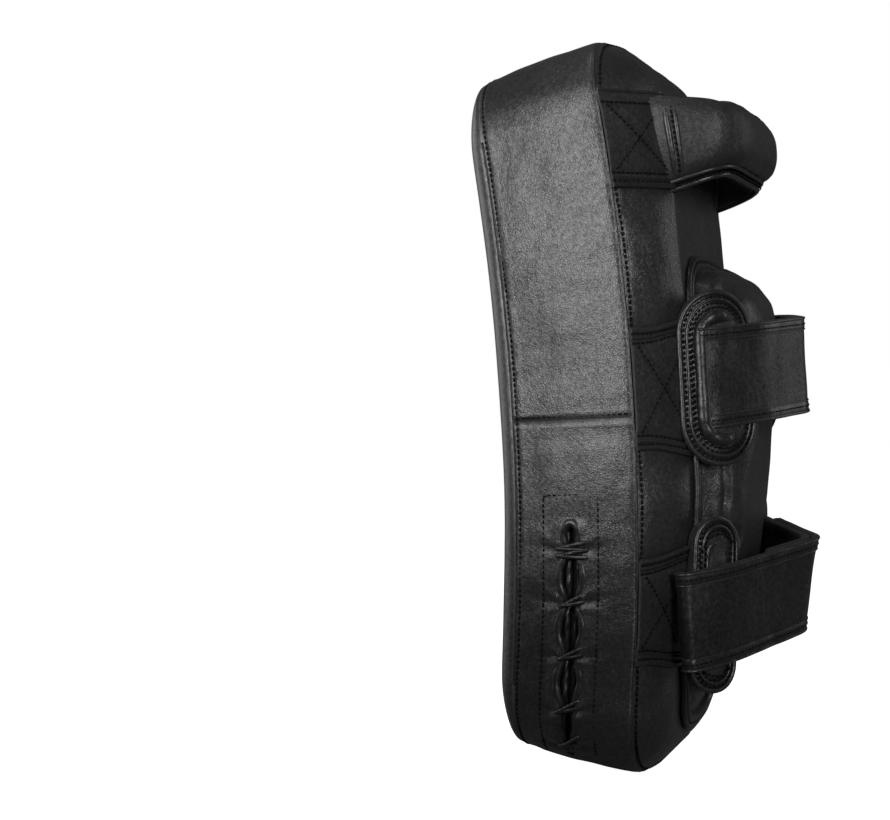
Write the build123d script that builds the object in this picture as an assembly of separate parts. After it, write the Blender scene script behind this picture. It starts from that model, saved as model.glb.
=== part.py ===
from build123d import *
import math
import os

# Martial arts kick pad, millimetres.
# X runs across the pad with the laces on +X, the strike face looks to -Y, the straps are on +Y
# and Z runs along the pad with the handle at the top.
# The origin is the middle of the back edge seam's plane, halfway up the pad.

# ---- driving dimensions -------------------------------------------------------------------
BACK_HALF_HEIGHT = 200.0      # back edge seam, at its own depth near the ends
FRONT_HALF_HEIGHT = 185.0     # front edge seam
BACK_HALF_WIDTH = 100.0       # back edge seam, halfway up
FRONT_HALF_WIDTH = 92.5       # front edge seam
GUSSET_DEPTH = 68.0           # side wall between the two edge seams
WIDTH_TAPER = 0.03            # top wider and bottom narrower by this share
CORNER_RADIUS = 42.0          # plan corners of the pad
BOW_RADIUS = 1290.0           # the whole pad bends forward along its length
LEATHER = 2.2                 # cover leather
FACE_CROWN = 9.0              # strike face's middle stands this far in front of its seam
FACE_EDGE = 6.0               # and its edge this far
REST_LAND_Y = -88.0           # the strike face is pressed flat here near both ends
WELT_WIDTH = 3.0              # folded leather strip sewn into each edge seam
WELT_PROUD = 0.9
DART_HEIGHT = -4.0            # seam between the upper and the lower side wall
STRIKE_FOAM_DEPTH = 20.0
CORE_FOAM_DEPTH = 30.0
WALL_FRONT = -110.0           # the side wall's construction solid runs between these depths
WALL_BACK = 60.0

# Back: a flat-topped dome with sloping sides
PLATEAU_HALF_WIDTH = 65.0
PLATEAU_HEIGHT = 25.0
SKIRT = 8.0                   # the dome's section is drawn this far beyond the back seam
# depth and height of the dome's side view, from the top end to the bottom end
DOME_PROFILE = [(-18, 202), (5, 186), (16, 168), (21, 120), (25, 60), (25, -45), (19, -95), (6, -140),
                (-2, -185), (-18, -202)]

# Forearm cushion: height, half width and crown height of each section
CUSHION_SECTIONS = [(84, 40, 22), (66, 56, 44), (44, 60, 59), (0, 60, 54), (-58, 59, 47), (-120, 56, 35),
                    (-158, 44, 18)]
CUSHION_SHOULDER = 20.0       # side wall stops this far below the crown
CUSHION_MIN_SHOULDER = 4.0    # but never lower than this
CUSHION_ROOT = -20.0          # sections start this deep inside the pad
CUSHION_DRAFT = 3.0           # side wall leans in this much at the shoulder
CUSHION_PIPING = 2.6          # piping round the cushion's foot
CUSHION_PIPING_HEIGHT = 4.2

# Reinforcement bands across the sloping sides: name, bottom, top
BAND_LEVELS = [("band_top", 117, 168), ("band_middle", -21, 41), ("band_lower", -134, -80)]
BAND_THICKNESS = 1.6
BAND_START = 71.0             # inner end, from the middle of the pad
BAND_EDGE = 1.0               # outer end stops this far inside the side wall

# Handle
HANDLE_BOTTOM = 118.0
HANDLE_TOP = 168.0
HANDLE_PATH = [(69, 8), (66, 57), (-66, 57), (-69, 8)]
HANDLE_BEND = 24.0
HANDLE_INNER = 7.0            # inside of the padding below its path
HANDLE_OUTER = 8.0            # outside of the padding above its path
HANDLE_FOOT_Y = 22.5          # the feet end here, above the dome
HANDLE_SWAY = 12.0            # degrees each way
HANDLE_SWAY_SPARE = 2.0       # the feet are relieved for this much more
HANDLE_RELIEF = 60.0          # length of the relief, well past the handle's edges
HANDLE_WEBBING_INSET = 8.0
HANDLE_WEBBING_HALF = 0.8

# Forearm straps. Each is an outer half that comes from the lace side over the arm and a short inner
# half from the other side beneath it, held by hook and loop. Paths are in the strap's own XY.
STRAP_BEND = 9.0
STRAP_WIDTH = 54.0
STRAP_HALF_THICKNESS = 1.5
STRAP_SKIN_LINE = 0.2         # skin meets webbing this far outside the middle
ROOT_BEAD_RADIUS = 2.4
ROOT_CLEARANCE = 0.7
BINDING_WIDTH = 6.0
BINDING_EXTRA = 0.35
HOOK_THICKNESS = 1.1
HOOK_START = -12.0            # the hook patch covers the strap beyond this point
PATCH_THICKNESS = 3.5
PATCH_BEND = 14.0
PATCH_REACH = 20.0            # depth of the cutter that rounds a patch's ends
LIP_RADIUS = 2.8
STRAPS = {
    "upper": {
        "height": 14.0,
        "tilt": 4.0,
        "outer": [(71, 31.3), (64.2, 41), (38, 60.5), (0, 77.6), (-40, 65), (-56, 53)],
        "inner": [(28, 60.3), (0, 73), (-38, 60.5), (-64.2, 41), (-71, 31.3)],
        "patch": [(76, 14), (60, 36), (42, 49)],
        "patch_length": 91.0,
        "lip": (72.5, 24.2),
    },
    "lower": {
        "height": -114.0,
        "tilt": 7.0,
        "outer": [(79.5, 19.6), (71, 34), (0, 78.2), (-56, 46.5)],
        "inner": [(28, 55.2), (0, 73), (-71, 33), (-79.5, 19.6)],
        "patch": [(90, 6.5), (72, 18), (46, 30)],
        "patch_length": 97.0,
        "lip": (84.9, 15.2),
    },
}

# Lacing on the lower side wall
LACE_TOP = -58.5
LACE_BOTTOM = -184.0
LACE_CENTRE_Y = -36.0
LACE_HALF_GAP = 7.0
LACE_LIP = 3.5
LACE_LIP_PROUD = 2.4
FACING_MARGIN = 9.0
FACING_THICKNESS = 1.6
TONGUE_INSET = 3.0
LACE_END_MARGIN = 1.5         # lips and facing run this far past the opening's lower end
TONGUE_END_MARGIN = 1.0
LACE_WINDOW = 60.0            # lacing parts are cut from the wall beyond this width
CORD_RADIUS = 1.7
CORD_CLEARANCE = 0.8
CORD_SLANT = 12.0             # degrees
CORD_YAW = -6.0
LACE_ROWS = [-74, -102, -131, -160, -176]

BIG = 600.0
BOW_AXIS_Y = -GUSSET_DEPTH - (BOW_RADIUS - GUSSET_DEPTH)
BOW_SPARE = 20.0              # the bowed sections run this far past the pad's ends
END_BOW = BOW_RADIUS - math.sqrt(BOW_RADIUS ** 2 - BACK_HALF_HEIGHT ** 2)


# ---- helpers --------------------------------------------------------------------------------
def plane_at_depth(depth):
    """Sketch plane across the pad: x to +X, y to +Z."""
    return Plane(origin=(0, depth, 0), x_dir=(1, 0, 0), z_dir=(0, -1, 0))


def block(x_range, y_range, z_range):
    """Axis-aligned box between three pairs of limits."""
    size = [high - low for low, high in (x_range, y_range, z_range)]
    middle = [(high + low) / 2 for low, high in (x_range, y_range, z_range)]
    return Pos(*middle) * Box(*size)


def pad_outline(depth, grow):
    """Plan outline of the side wall at one depth."""
    share = (depth + END_BOW) / GUSSET_DEPTH
    half_height = BACK_HALF_HEIGHT + (BACK_HALF_HEIGHT - FRONT_HALF_HEIGHT) * share + grow
    half_width = BACK_HALF_WIDTH + (BACK_HALF_WIDTH - FRONT_HALF_WIDTH) * depth / GUSSET_DEPTH + grow
    top = half_width * (1 + WIDTH_TAPER)
    bottom = half_width * (1 - WIDTH_TAPER)
    corners = [(-bottom, -half_height), (bottom, -half_height), (top, half_height), (-top, half_height)]
    shape = Polygon(*corners, align=None)
    return plane_at_depth(depth) * fillet(shape.vertices(), CORNER_RADIUS + grow)


def pad_wall(grow=0.0):
    """Solid bounded by the side wall, longer than the pad is deep."""
    return loft([pad_outline(WALL_FRONT, grow), pad_outline(WALL_BACK, grow)], ruled=True)


def bow_cylinder(depth):
    """Cylinder whose wall passes through this depth halfway up the pad."""
    radius = depth - BOW_AXIS_Y
    return Pos(0, BOW_AXIS_Y, 0) * Rot(0, 90, 0) * Cylinder(radius, BIG)


def bow_layer(front, back):
    """Curved slab between two depths that follows the pad's bow."""
    return bow_cylinder(back) - bow_cylinder(front)


def bowed(profile):
    """Sweep a cross-section drawn in XY along the pad's bow."""
    half_angle = math.degrees(math.asin((BACK_HALF_HEIGHT + BOW_SPARE) / BOW_RADIUS))
    axis = Axis((0, BOW_AXIS_Y, 0), (1, 0, 0))
    return revolve(profile.rotate(axis, -half_angle), axis=axis, revolution_arc=2 * half_angle)


def dome(grow=0.0):
    """Solid of the back behind the back seam, with all outer faces offset by grow."""
    slope = PLATEAU_HEIGHT / (BACK_HALF_WIDTH - PLATEAU_HALF_WIDTH)
    section = Polygon(
        (-BACK_HALF_WIDTH - SKIRT, -SKIRT * slope),
        (BACK_HALF_WIDTH + SKIRT, -SKIRT * slope),
        (PLATEAU_HALF_WIDTH, PLATEAU_HEIGHT),
        (-PLATEAU_HALF_WIDTH, PLATEAU_HEIGHT),
        align=None,
    )
    side = Polygon(*DOME_PROFILE, align=None)
    if grow:
        section = offset(section, amount=grow, kind=Kind.INTERSECTION)
        side = offset(side, amount=grow, kind=Kind.INTERSECTION)
    side_solid = extrude(Plane.YZ * side, BIG / 2, both=True)
    return (bowed(section) & side_solid & pad_wall(grow)) - bow_cylinder(0)


def offset_path(points, distance):
    """Move an open path of points sideways by a distance, towards its outer side."""
    moved = []
    for index, point in enumerate(points):
        before = points[max(index - 1, 0)]
        after = points[min(index + 1, len(points) - 1)]
        normals = []
        for start, end in ((before, point), (point, after)):
            run = math.dist(start, end)
            if run:
                normals.append(((end[1] - start[1]) / run, (start[0] - end[0]) / run))
        nx = sum(n[0] for n in normals) / len(normals)
        ny = sum(n[1] for n in normals) / len(normals)
        scale = distance / (nx * nx + ny * ny)
        moved.append((point[0] + nx * scale, point[1] + ny * scale))
    return moved


def path_layer(points, bend, inner, outer, bottom, top):
    """Solid strip between two offsets of a path in XY, from one height to another."""
    low = FilletPolyline(*offset_path(points, inner), radius=bend + inner)
    high = FilletPolyline(*offset_path(points, outer), radius=bend + outer)
    caps = [Line(low @ 0, high @ 0), Line(low @ 1, high @ 1)]
    face = make_face([*low.edges(), *high.edges(), *caps])
    if face.face().normal_at().Z < 0:
        face = -face
    return extrude(Pos(0, 0, bottom) * face, top - bottom)


def mirrored(shape):
    """The same piece on the pad's other side."""
    return mirror(shape, about=Plane.YZ)


# ---- body of the pad --------------------------------------------------------------------------
def face_block(inset):
    """Crowned front of the pad, ahead of its front seam."""
    half = FRONT_HALF_WIDTH * (1 + WIDTH_TAPER)
    seam = -GUSSET_DEPTH
    crown = ThreePointArc(
        (-half, seam - FACE_EDGE + inset),
        (0, seam - FACE_CROWN + inset),
        (half, seam - FACE_EDGE + inset),
    )
    front = seam - FACE_EDGE + inset
    sides = Polyline((half, front), (half, seam), (-half, seam), (-half, front))
    section = make_face([*crown.edges(), *sides.edges()])
    return bowed(section) & pad_wall(-inset)


def make_strike_face(parts):
    """Front leather and the crown of foam behind it."""
    solid = face_block(0) & block((-BIG, BIG), (REST_LAND_Y, BIG), (-BIG, BIG))
    cavity = face_block(LEATHER) & block((-BIG, BIG), (REST_LAND_Y + LEATHER, BIG), (-BIG, BIG))
    parts["strike_face_panel"] = solid - cavity
    return cavity


def make_pad_body(parts):
    """Side walls, edge welts and the foam layers."""
    wall = pad_wall()
    core = pad_wall(-LEATHER)
    crown_foam = make_strike_face(parts)
    ring = wall - core
    welt_ring = pad_wall(WELT_PROUD) - core
    front = -GUSSET_DEPTH
    back = 0.0
    parts["front_edge_welt"] = welt_ring & bow_layer(front, front + WELT_WIDTH)
    parts["back_edge_welt"] = welt_ring & bow_layer(back - WELT_WIDTH, back)
    gusset = ring & bow_layer(front + WELT_WIDTH, back - WELT_WIDTH)
    parts["side_wall_upper"] = gusset & block((-BIG, BIG), (-BIG, BIG), (DART_HEIGHT, BIG))
    lower = gusset & block((-BIG, BIG), (-BIG, BIG), (-BIG, DART_HEIGHT))
    parts["side_wall_lower"] = lower - lace_gap()
    lace_room = make_lacing(parts)
    first = front + STRIKE_FOAM_DEPTH
    second = first + CORE_FOAM_DEPTH
    parts["strike_foam"] = (core & bow_layer(front, first)) + crown_foam - lace_room
    parts["core_foam"] = (core & bow_layer(first, second)) - lace_room
    parts["backing_foam"] = (core & bow_layer(second, back)) - lace_room


def make_back(parts):
    """Three back panels over the dome of foam, and the bands sewn across their sides."""
    outer = dome()
    inner = dome(-LEATHER)
    shell = outer - inner
    split = PLATEAU_HALF_WIDTH
    parts["back_panel_centre"] = shell & block((-split, split), (-BIG, BIG), (-BIG, BIG))
    parts["back_panel_lace_side"] = shell & block((split, BIG), (-BIG, BIG), (-BIG, BIG))
    parts["back_panel_plain_side"] = shell & block((-BIG, -split), (-BIG, BIG), (-BIG, BIG))
    parts["back_dome_foam"] = inner
    return outer


# ---- lacing -----------------------------------------------------------------------------------
def lace_slot(margin, bottom_margin):
    """Region of the side wall around the laced opening."""
    centre = LACE_CENTRE_Y
    half = LACE_HALF_GAP + margin
    window = block((LACE_WINDOW, BIG), (-BIG, BIG), (LACE_BOTTOM - bottom_margin, LACE_TOP + margin))
    return bow_layer(centre - half, centre + half) & window


def lace_gap():
    """The laced opening itself."""
    return lace_slot(0, 0)


def make_lacing(parts):
    """Rolled lips, facing, tongue and cord. Returns what the foam has to make room for."""
    gap = lace_gap()
    around = lace_slot(LACE_LIP, LACE_END_MARGIN)
    bead = pad_wall(LACE_LIP_PROUD) - pad_wall()
    parts["lace_lips"] = (bead & around) - gap
    facing_depth = LEATHER + FACING_THICKNESS
    facing_ring = pad_wall(-LEATHER) - pad_wall(-facing_depth)
    parts["lace_facing"] = (facing_ring & lace_slot(FACING_MARGIN, LACE_END_MARGIN)) - gap
    tongue_depth = facing_depth + FACING_THICKNESS
    tongue_ring = pad_wall(-facing_depth) - pad_wall(-tongue_depth)
    parts["lace_tongue"] = tongue_ring & lace_slot(FACING_MARGIN - TONGUE_INSET, TONGUE_END_MARGIN)
    parts["lace_cord"] = Compound(children=[cord_crossing(level) for level in LACE_ROWS])
    recess = pad_wall() - pad_wall(-tongue_depth)
    return recess & lace_slot(FACING_MARGIN, LACE_END_MARGIN)


def wall_x(depth, height):
    """Lace side of the side wall at a depth and height, on the straight and round the corner."""
    half_width = BACK_HALF_WIDTH + (BACK_HALF_WIDTH - FRONT_HALF_WIDTH) * depth / GUSSET_DEPTH
    straight = half_width * (1 + WIDTH_TAPER * height / BACK_HALF_HEIGHT)
    end = BACK_HALF_HEIGHT + (BACK_HALF_HEIGHT - FRONT_HALF_HEIGHT) * (depth + END_BOW) / GUSSET_DEPTH
    into_corner = max(0.0, CORNER_RADIUS - (end - abs(height)))
    return straight - CORNER_RADIUS + math.sqrt(CORNER_RADIUS ** 2 - into_corner ** 2)


def cord_crossing(level):
    """One doubled crossing of the lace over the lips."""
    bow = BOW_RADIUS - math.sqrt(BOW_RADIUS ** 2 - level ** 2)
    depth = LACE_CENTRE_Y - bow
    reach = LACE_HALF_GAP + LACE_LIP - 1
    x = wall_x(depth, level + 4) + LACE_LIP_PROUD + CORD_RADIUS + CORD_CLEARANCE
    bar = Rot(90, 0, 0) * Cylinder(CORD_RADIUS, 2 * reach)
    return Pos(x, depth, level) * Rot(CORD_SLANT, 0, CORD_YAW) * bar


# ---- cushion, bands and patches -----------------------------------------------------------------
def cushion_section(level, half_width, crown, grow):
    """One cross-section of the forearm cushion."""
    half = half_width + grow
    top = crown + grow
    shoulder = max(top - CUSHION_SHOULDER, CUSHION_MIN_SHOULDER)
    lean = half - CUSHION_DRAFT
    arc = ThreePointArc((-lean, shoulder), (0, top), (lean, shoulder))
    sides = Polyline((lean, shoulder), (half, CUSHION_ROOT), (-half, CUSHION_ROOT), (-lean, shoulder))
    return Pos(0, 0, level) * make_face([*arc.edges(), *sides.edges()])


def cushion_solid(grow):
    """Cushion from its foot inside the pad to its crown."""
    sections = []
    last = len(CUSHION_SECTIONS) - 1
    for index, (level, half_width, crown) in enumerate(CUSHION_SECTIONS):
        shift = grow if index == 0 else -grow if index == last else 0
        sections.append(cushion_section(level + shift, half_width, crown, grow))
    return loft(sections, ruled=True)


def make_cushion(parts, back):
    """Cushion cover, foam and the piping round its foot."""
    outer = cushion_solid(0)
    inner = cushion_solid(-LEATHER)
    room = back + bow_cylinder(0)
    parts["cushion_cover"] = outer - inner - room
    parts["cushion_foam"] = inner - room
    piping = cushion_solid(CUSHION_PIPING) - outer - room
    parts["cushion_piping"] = piping & dome(CUSHION_PIPING_HEIGHT)
    return cushion_solid(CUSHION_PIPING)


def make_bands(parts, back):
    """Three reinforcement bands, each a strip on both sloping sides."""
    skin = dome(BAND_THICKNESS) - back
    for name, bottom, top in BAND_LEVELS:
        strip = skin & block((BAND_START, BIG), (-BIG, BIG), (bottom, top))
        strip = strip & pad_wall(-BAND_EDGE)
        parts[name] = Compound(children=[strip, mirrored(strip)])


def strap_place(strap):
    """Placement of a strap: turned about its root on the lace side."""
    root_x = strap["outer"][0][0]
    return Pos(root_x, 0, strap["height"]) * Rot(0, strap["tilt"], 0) * Pos(-root_x, 0, 0)


def make_anchor(parts, name, strap, keep_clear):
    """Anchor patches draped beside the cushion, grooved for the strap's root, and their rolled lips."""
    place = strap_place(strap)
    path = strap["patch"]
    length = strap["patch_length"]
    plate = path_layer(path, PATCH_BEND, 0, PATCH_THICKNESS, -length / 2, length / 2)
    (x1, y1), (x2, y2) = path[0], path[-1]
    across = Vector(x2 - x1, y2 - y1, 0).normalized()
    out = Vector(across.Y, -across.X, 0)
    frame = Plane(origin=((x1 + x2) / 2, (y1 + y2) / 2, 0), x_dir=across, z_dir=out)
    width = math.dist(path[0], path[-1])
    stadium = extrude(frame * Rot(0, 0, 90) * SlotOverall(length, width), PATCH_REACH, both=True)
    root = strap["outer"][0]
    groove = Pos(*root, 0) * Cylinder(ROOT_BEAD_RADIUS + ROOT_CLEARANCE, STRAP_WIDTH + 2)
    lip = Pos(*strap["lip"], 0) * Cylinder(LIP_RADIUS, STRAP_WIDTH)
    plate = (plate & stadium) - groove - lip
    parts[name + "_anchor_patch_lace_side"] = place * plate - keep_clear
    parts[name + "_anchor_patch_plain_side"] = place * mirrored(plate) - keep_clear
    lips = [place * lip - keep_clear, place * mirrored(lip) - keep_clear]
    parts[name + "_slot_lips"] = Compound(children=lips)


# ---- straps -----------------------------------------------------------------------------------
def strap_half(parts, name, path, root, skin, place):
    """One half of a strap: skin on the outside, webbing inside, bound along both edges."""
    full = STRAP_HALF_THICKNESS
    low = -STRAP_WIDTH / 2
    high = STRAP_WIDTH / 2
    bead = Pos(*root, 0) * Cylinder(ROOT_BEAD_RADIUS, STRAP_WIDTH - 2)
    inside = (low + BINDING_WIDTH, high - BINDING_WIDTH)
    outside = path_layer(path, STRAP_BEND, STRAP_SKIN_LINE, full, *inside)
    web = path_layer(path, STRAP_BEND, -full, STRAP_SKIN_LINE, *inside)
    edge = path_layer(path, STRAP_BEND, -full - BINDING_EXTRA, full + BINDING_EXTRA, low, inside[0])
    edges = [edge - bead, Pos(0, 0, STRAP_WIDTH - BINDING_WIDTH) * edge - bead]
    parts[name + "_" + skin] = place * (outside - bead)
    parts[name + "_webbing"] = place * (web + bead)
    parts[name + "_binding"] = Compound(children=[place * piece for piece in edges])


def make_strap(parts, name, strap):
    """Outer half on the lace side, inner half on the plain side and the hook patch between."""
    place = strap_place(strap)
    outer = strap["outer"]
    inner = strap["inner"]
    strap_half(parts, name + "_outer_strap", outer, outer[0], "face", place)
    strap_half(parts, name + "_inner_strap", inner, inner[-1], "loop_face", place)
    full = STRAP_HALF_THICKNESS
    reach = STRAP_WIDTH / 2 - BINDING_WIDTH - 1
    hook = path_layer(outer, STRAP_BEND, -full - HOOK_THICKNESS, -full, -reach, reach)
    hook = hook & block((-BIG, HOOK_START), (-BIG, BIG), (-BIG, BIG))
    parts[name + "_hook_patch"] = place * hook


# ---- handle -----------------------------------------------------------------------------------
def make_handle(parts):
    """Padded loop over the top of the back, with its feet relieved so it can sway."""
    middle = (HANDLE_TOP + HANDLE_BOTTOM) / 2
    length = HANDLE_RELIEF
    rise = length * math.tan(math.radians(HANDLE_SWAY + HANDLE_SWAY_SPARE))
    relief = Polygon(
        (HANDLE_FOOT_Y, middle),
        (HANDLE_FOOT_Y + rise, middle + length),
        (BIG, middle + length),
        (BIG, middle - length),
        (HANDLE_FOOT_Y + rise, middle - length),
        align=None,
    )
    keep = extrude(Plane.YZ * relief, BIG / 2, both=True)

    def layer(inner, outer, inset):
        low, high = HANDLE_BOTTOM + inset, HANDLE_TOP - inset
        return path_layer(HANDLE_PATH, HANDLE_BEND, inner, outer, low, high) & keep

    lining = layer(-HANDLE_INNER, -HANDLE_INNER + LEATHER, 0)
    padding = layer(-HANDLE_INNER + LEATHER, HANDLE_OUTER - LEATHER, LEATHER)
    webbing = layer(-HANDLE_WEBBING_HALF, HANDLE_WEBBING_HALF, HANDLE_WEBBING_INSET)
    parts["handle_lining"] = lining
    parts["handle_webbing"] = webbing
    parts["handle_foam"] = padding - webbing
    parts["handle_cover"] = layer(-HANDLE_INNER + LEATHER, HANDLE_OUTER, 0) - padding


def make_all():
    """Every piece by name."""
    parts = {}
    make_pad_body(parts)
    back = make_back(parts)
    make_bands(parts, back)
    cushion_room = make_cushion(parts, back)
    for name in [level[0] for level in BAND_LEVELS]:
        parts[name] = parts[name] - cushion_room
    keep_clear = cushion_room + dome(BAND_THICKNESS)
    for name, strap in STRAPS.items():
        make_anchor(parts, name, strap, keep_clear)
        make_strap(parts, name, strap)
    make_handle(parts)
    return parts


os.makedirs("parts", exist_ok=True)
for node, shape in make_all().items():
    export_step(shape, os.path.join("parts", node + ".step"))
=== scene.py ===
import math

import bmesh
import bpy
import numpy as np
from mathutils import Matrix, Vector


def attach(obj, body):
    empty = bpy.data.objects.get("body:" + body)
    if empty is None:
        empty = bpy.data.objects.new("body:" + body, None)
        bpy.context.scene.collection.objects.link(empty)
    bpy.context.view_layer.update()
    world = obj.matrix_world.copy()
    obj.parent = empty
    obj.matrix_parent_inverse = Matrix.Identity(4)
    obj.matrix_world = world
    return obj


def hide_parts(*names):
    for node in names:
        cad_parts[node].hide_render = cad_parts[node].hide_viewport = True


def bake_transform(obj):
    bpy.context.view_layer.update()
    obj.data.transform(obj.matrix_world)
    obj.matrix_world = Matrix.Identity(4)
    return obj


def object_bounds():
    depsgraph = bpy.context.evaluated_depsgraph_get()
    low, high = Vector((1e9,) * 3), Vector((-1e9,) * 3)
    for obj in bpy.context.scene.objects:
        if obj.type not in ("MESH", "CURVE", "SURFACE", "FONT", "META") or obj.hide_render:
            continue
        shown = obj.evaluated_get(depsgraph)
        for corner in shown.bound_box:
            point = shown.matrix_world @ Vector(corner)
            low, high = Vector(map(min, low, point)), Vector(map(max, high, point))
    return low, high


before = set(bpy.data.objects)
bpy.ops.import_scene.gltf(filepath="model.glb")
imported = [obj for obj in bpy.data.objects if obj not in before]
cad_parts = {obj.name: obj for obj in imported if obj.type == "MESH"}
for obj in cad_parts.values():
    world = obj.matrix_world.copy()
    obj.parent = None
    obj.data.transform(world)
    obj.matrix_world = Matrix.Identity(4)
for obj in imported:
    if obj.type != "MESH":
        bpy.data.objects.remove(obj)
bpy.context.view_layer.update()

# Everything is worked out in millimetres and turned into metres when a mesh is made.
# X runs across the pad with the laces on +X, the strike face looks to -Y, Z runs up the pad.
MM = 0.001

# ---- driving dimensions of the pad, the same as the CAD model's ----
BACK_HALF_HEIGHT = 200.0
FRONT_HALF_HEIGHT = 185.0
BACK_HALF_WIDTH = 100.0
FRONT_HALF_WIDTH = 92.5
GUSSET_DEPTH = 68.0
WIDTH_TAPER = 0.03
CORNER_RADIUS = 42.0
BOW_RADIUS = 1290.0
END_BOW = BOW_RADIUS - math.sqrt(BOW_RADIUS ** 2 - BACK_HALF_HEIGHT ** 2)
DART_HEIGHT = -4.0
LEATHER = 1.8
INNER_SEAM_X = 65.0
STRAP_WIDTH = 54.0


# ---- numbers ----
def xyz(x, y, z):
    """Points from coordinates of any shapes that fit together."""
    return np.stack(np.broadcast_arrays(x, y, z), axis=-1).astype(float)


def unit(vectors):
    """Vectors scaled to length 1."""
    return vectors / np.maximum(np.linalg.norm(vectors, axis=-1, keepdims=True), 1e-9)


def soften(padded, reach, spread):
    """Rows smoothed by a bell curve of this spread, cut off at this reach, both counted in rows."""
    kernel = np.exp(-0.5 * (np.arange(-reach, reach + 1) / spread) ** 2)
    kernel /= kernel.sum()
    return np.stack([np.convolve(column, kernel, mode="valid") for column in padded.T], axis=1)


def smooth_table(points, spread):
    """A function through a short table of (x, y) points, rounded at the points."""
    xs, ys = np.array(points, float).T
    dense = np.linspace(xs[0] - 4 * spread, xs[-1] + 4 * spread, 1200)
    step = dense[1] - dense[0]
    reach = int(3 * spread / step)
    padded = np.pad(np.interp(dense, xs, ys), reach, mode="edge")
    soft = soften(padded[:, None], reach, spread / step)[:, 0]
    return lambda x: np.interp(x, dense, soft)


def waves(points, size, seed):
    """Smooth seeded noise between about -1 and 1, with features of about this size in mm."""
    rng = np.random.default_rng(seed)
    total = np.zeros(points.shape[:-1])
    count = 14
    for _ in range(count):
        direction = unit(rng.normal(size=3))
        rate = 2 * math.pi / (size * rng.uniform(0.7, 1.6))
        total += np.sin(points @ (direction * rate) + rng.uniform(0, 2 * math.pi))
    return total / math.sqrt(count * 1.2)


def bump_at(distance, width):
    """1 on a line, falling to 0 over about this width."""
    return np.exp(-(distance / width) ** 2)


def ease(t):
    """0 to 1 with soft ends."""
    t = np.clip(t, 0, 1)
    return t * t * (3 - 2 * t)


def signed_power(values, power):
    """Powers that keep the sign, to square off a circle."""
    return np.sign(values) * np.abs(values) ** power


def lengths_along(points):
    """Distance from a polyline's start to each of its points."""
    return np.concatenate([[0], np.cumsum(np.linalg.norm(np.diff(points, axis=0), axis=1))])


def resample(points, step):
    """Points at even steps along a polyline."""
    points = np.asarray(points, float)
    lengths = lengths_along(points)
    at = np.linspace(0, lengths[-1], max(int(round(lengths[-1] / step)), 1) + 1)
    return np.stack([np.interp(at, lengths, column) for column in points.T], axis=1)


def clustered(length, step, fine=(0, 0.25, 0.6, 1.0, 1.5, 2.1, 2.8, 3.6, 4.6)):
    """Positions from 0 to length, fine near both ends and even between them."""
    fine = [f for f in fine if f < length / 2]
    count = max(int(round((length - 2 * fine[-1]) / step)), 1)
    middle = np.linspace(fine[-1], length - fine[-1], count + 1)
    return np.concatenate([fine[:-1], middle, [length - f for f in fine[:-1][::-1]]])


# ---- meshes ----
def smooth(piece, angle=48):
    """Smooth shading that keeps edges sharper than this angle."""
    piece.data.polygons.foreach_set("use_smooth", [True] * len(piece.data.polygons))
    piece.data.set_sharp_from_angle(angle=math.radians(angle))


def make_object(name, points, faces):
    """A mesh object from millimetre points and faces, with doubles merged."""
    mesh = bpy.data.meshes.new(name)
    mesh.from_pydata((np.asarray(points) * MM).tolist(), [], faces)
    mesh.validate()
    work = bmesh.new()
    work.from_mesh(mesh)
    bmesh.ops.remove_doubles(work, verts=work.verts, dist=0.00001)
    bmesh.ops.dissolve_degenerate(work, dist=0.000005, edges=work.edges)
    bmesh.ops.recalc_face_normals(work, faces=work.faces)
    work.to_mesh(mesh)
    work.free()
    piece = bpy.data.objects.new(name, mesh)
    bpy.context.scene.collection.objects.link(piece)
    smooth(piece)
    return piece


def shell(name, top, low, closed=False, rims=None, split=None, parted=None):
    """A closed piece between two grids of points. closed joins the last row to the first.

    The columns in rims get side walls. At the column split the piece is parted along the rows in parted.
    """
    nu, nv = top.shape[:2]
    half = nu * nv
    rims = [0, nv - 1] if rims is None else rims
    faces, rim = [], []
    for i in range(nu if closed else nu - 1):
        here, there = i * nv, (i + 1) % nu * nv
        faces += [[here + j, there + j, there + j + 1, here + j + 1] for j in range(nv - 1) if j != split]
        slit = [split, split + 1] if split and (parted[i] or parted[i + 1]) else []
        rim += [(here + j, there + j) for j in rims + slit]
    if not closed:
        rim += [(i * nv + j, i * nv + j + 1) for i in (0, nu - 1) for j in range(nv - 1) if j != split]
    faces += [[index + half for index in face[::-1]] for face in faces]
    faces += [[a, b, b + half, a + half] for a, b in rim]
    return make_object(name, np.concatenate([top.reshape(-1, 3), low.reshape(-1, 3)]), faces)


def thick_sheet(name, points, thickness, outward=None, split=None, parted=None):
    """A closed piece of leather of this thickness whose outside is the grid of points."""
    normals = unit(np.cross(np.gradient(points, axis=0), np.gradient(points, axis=1)))
    if split:
        normals[:, split:split + 2] = unit(normals[:, split] + normals[:, split + 1])[:, None]
    middle = normals[points.shape[0] // 2, points.shape[1] // 2]
    if outward is not None and np.dot(middle, outward) < 0:
        normals = -normals
    return shell(name, points, points - normals * thickness, split=split, parted=parted)


def tube_mesh(rings, closed=False):
    """Points and faces of a tube from its rings of points; open ends are capped."""
    count, sides = rings.shape[:2]
    faces = []
    for i in range(count if closed else count - 1):
        here, there = i * sides, (i + 1) % count * sides
        for k in range(sides):
            faces.append([here + k, there + k, there + (k + 1) % sides, here + (k + 1) % sides])
    if not closed:
        faces += [list(range(sides)), [(count - 1) * sides + k for k in range(sides)][::-1]]
    return rings.reshape(-1, 3), faces


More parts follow.
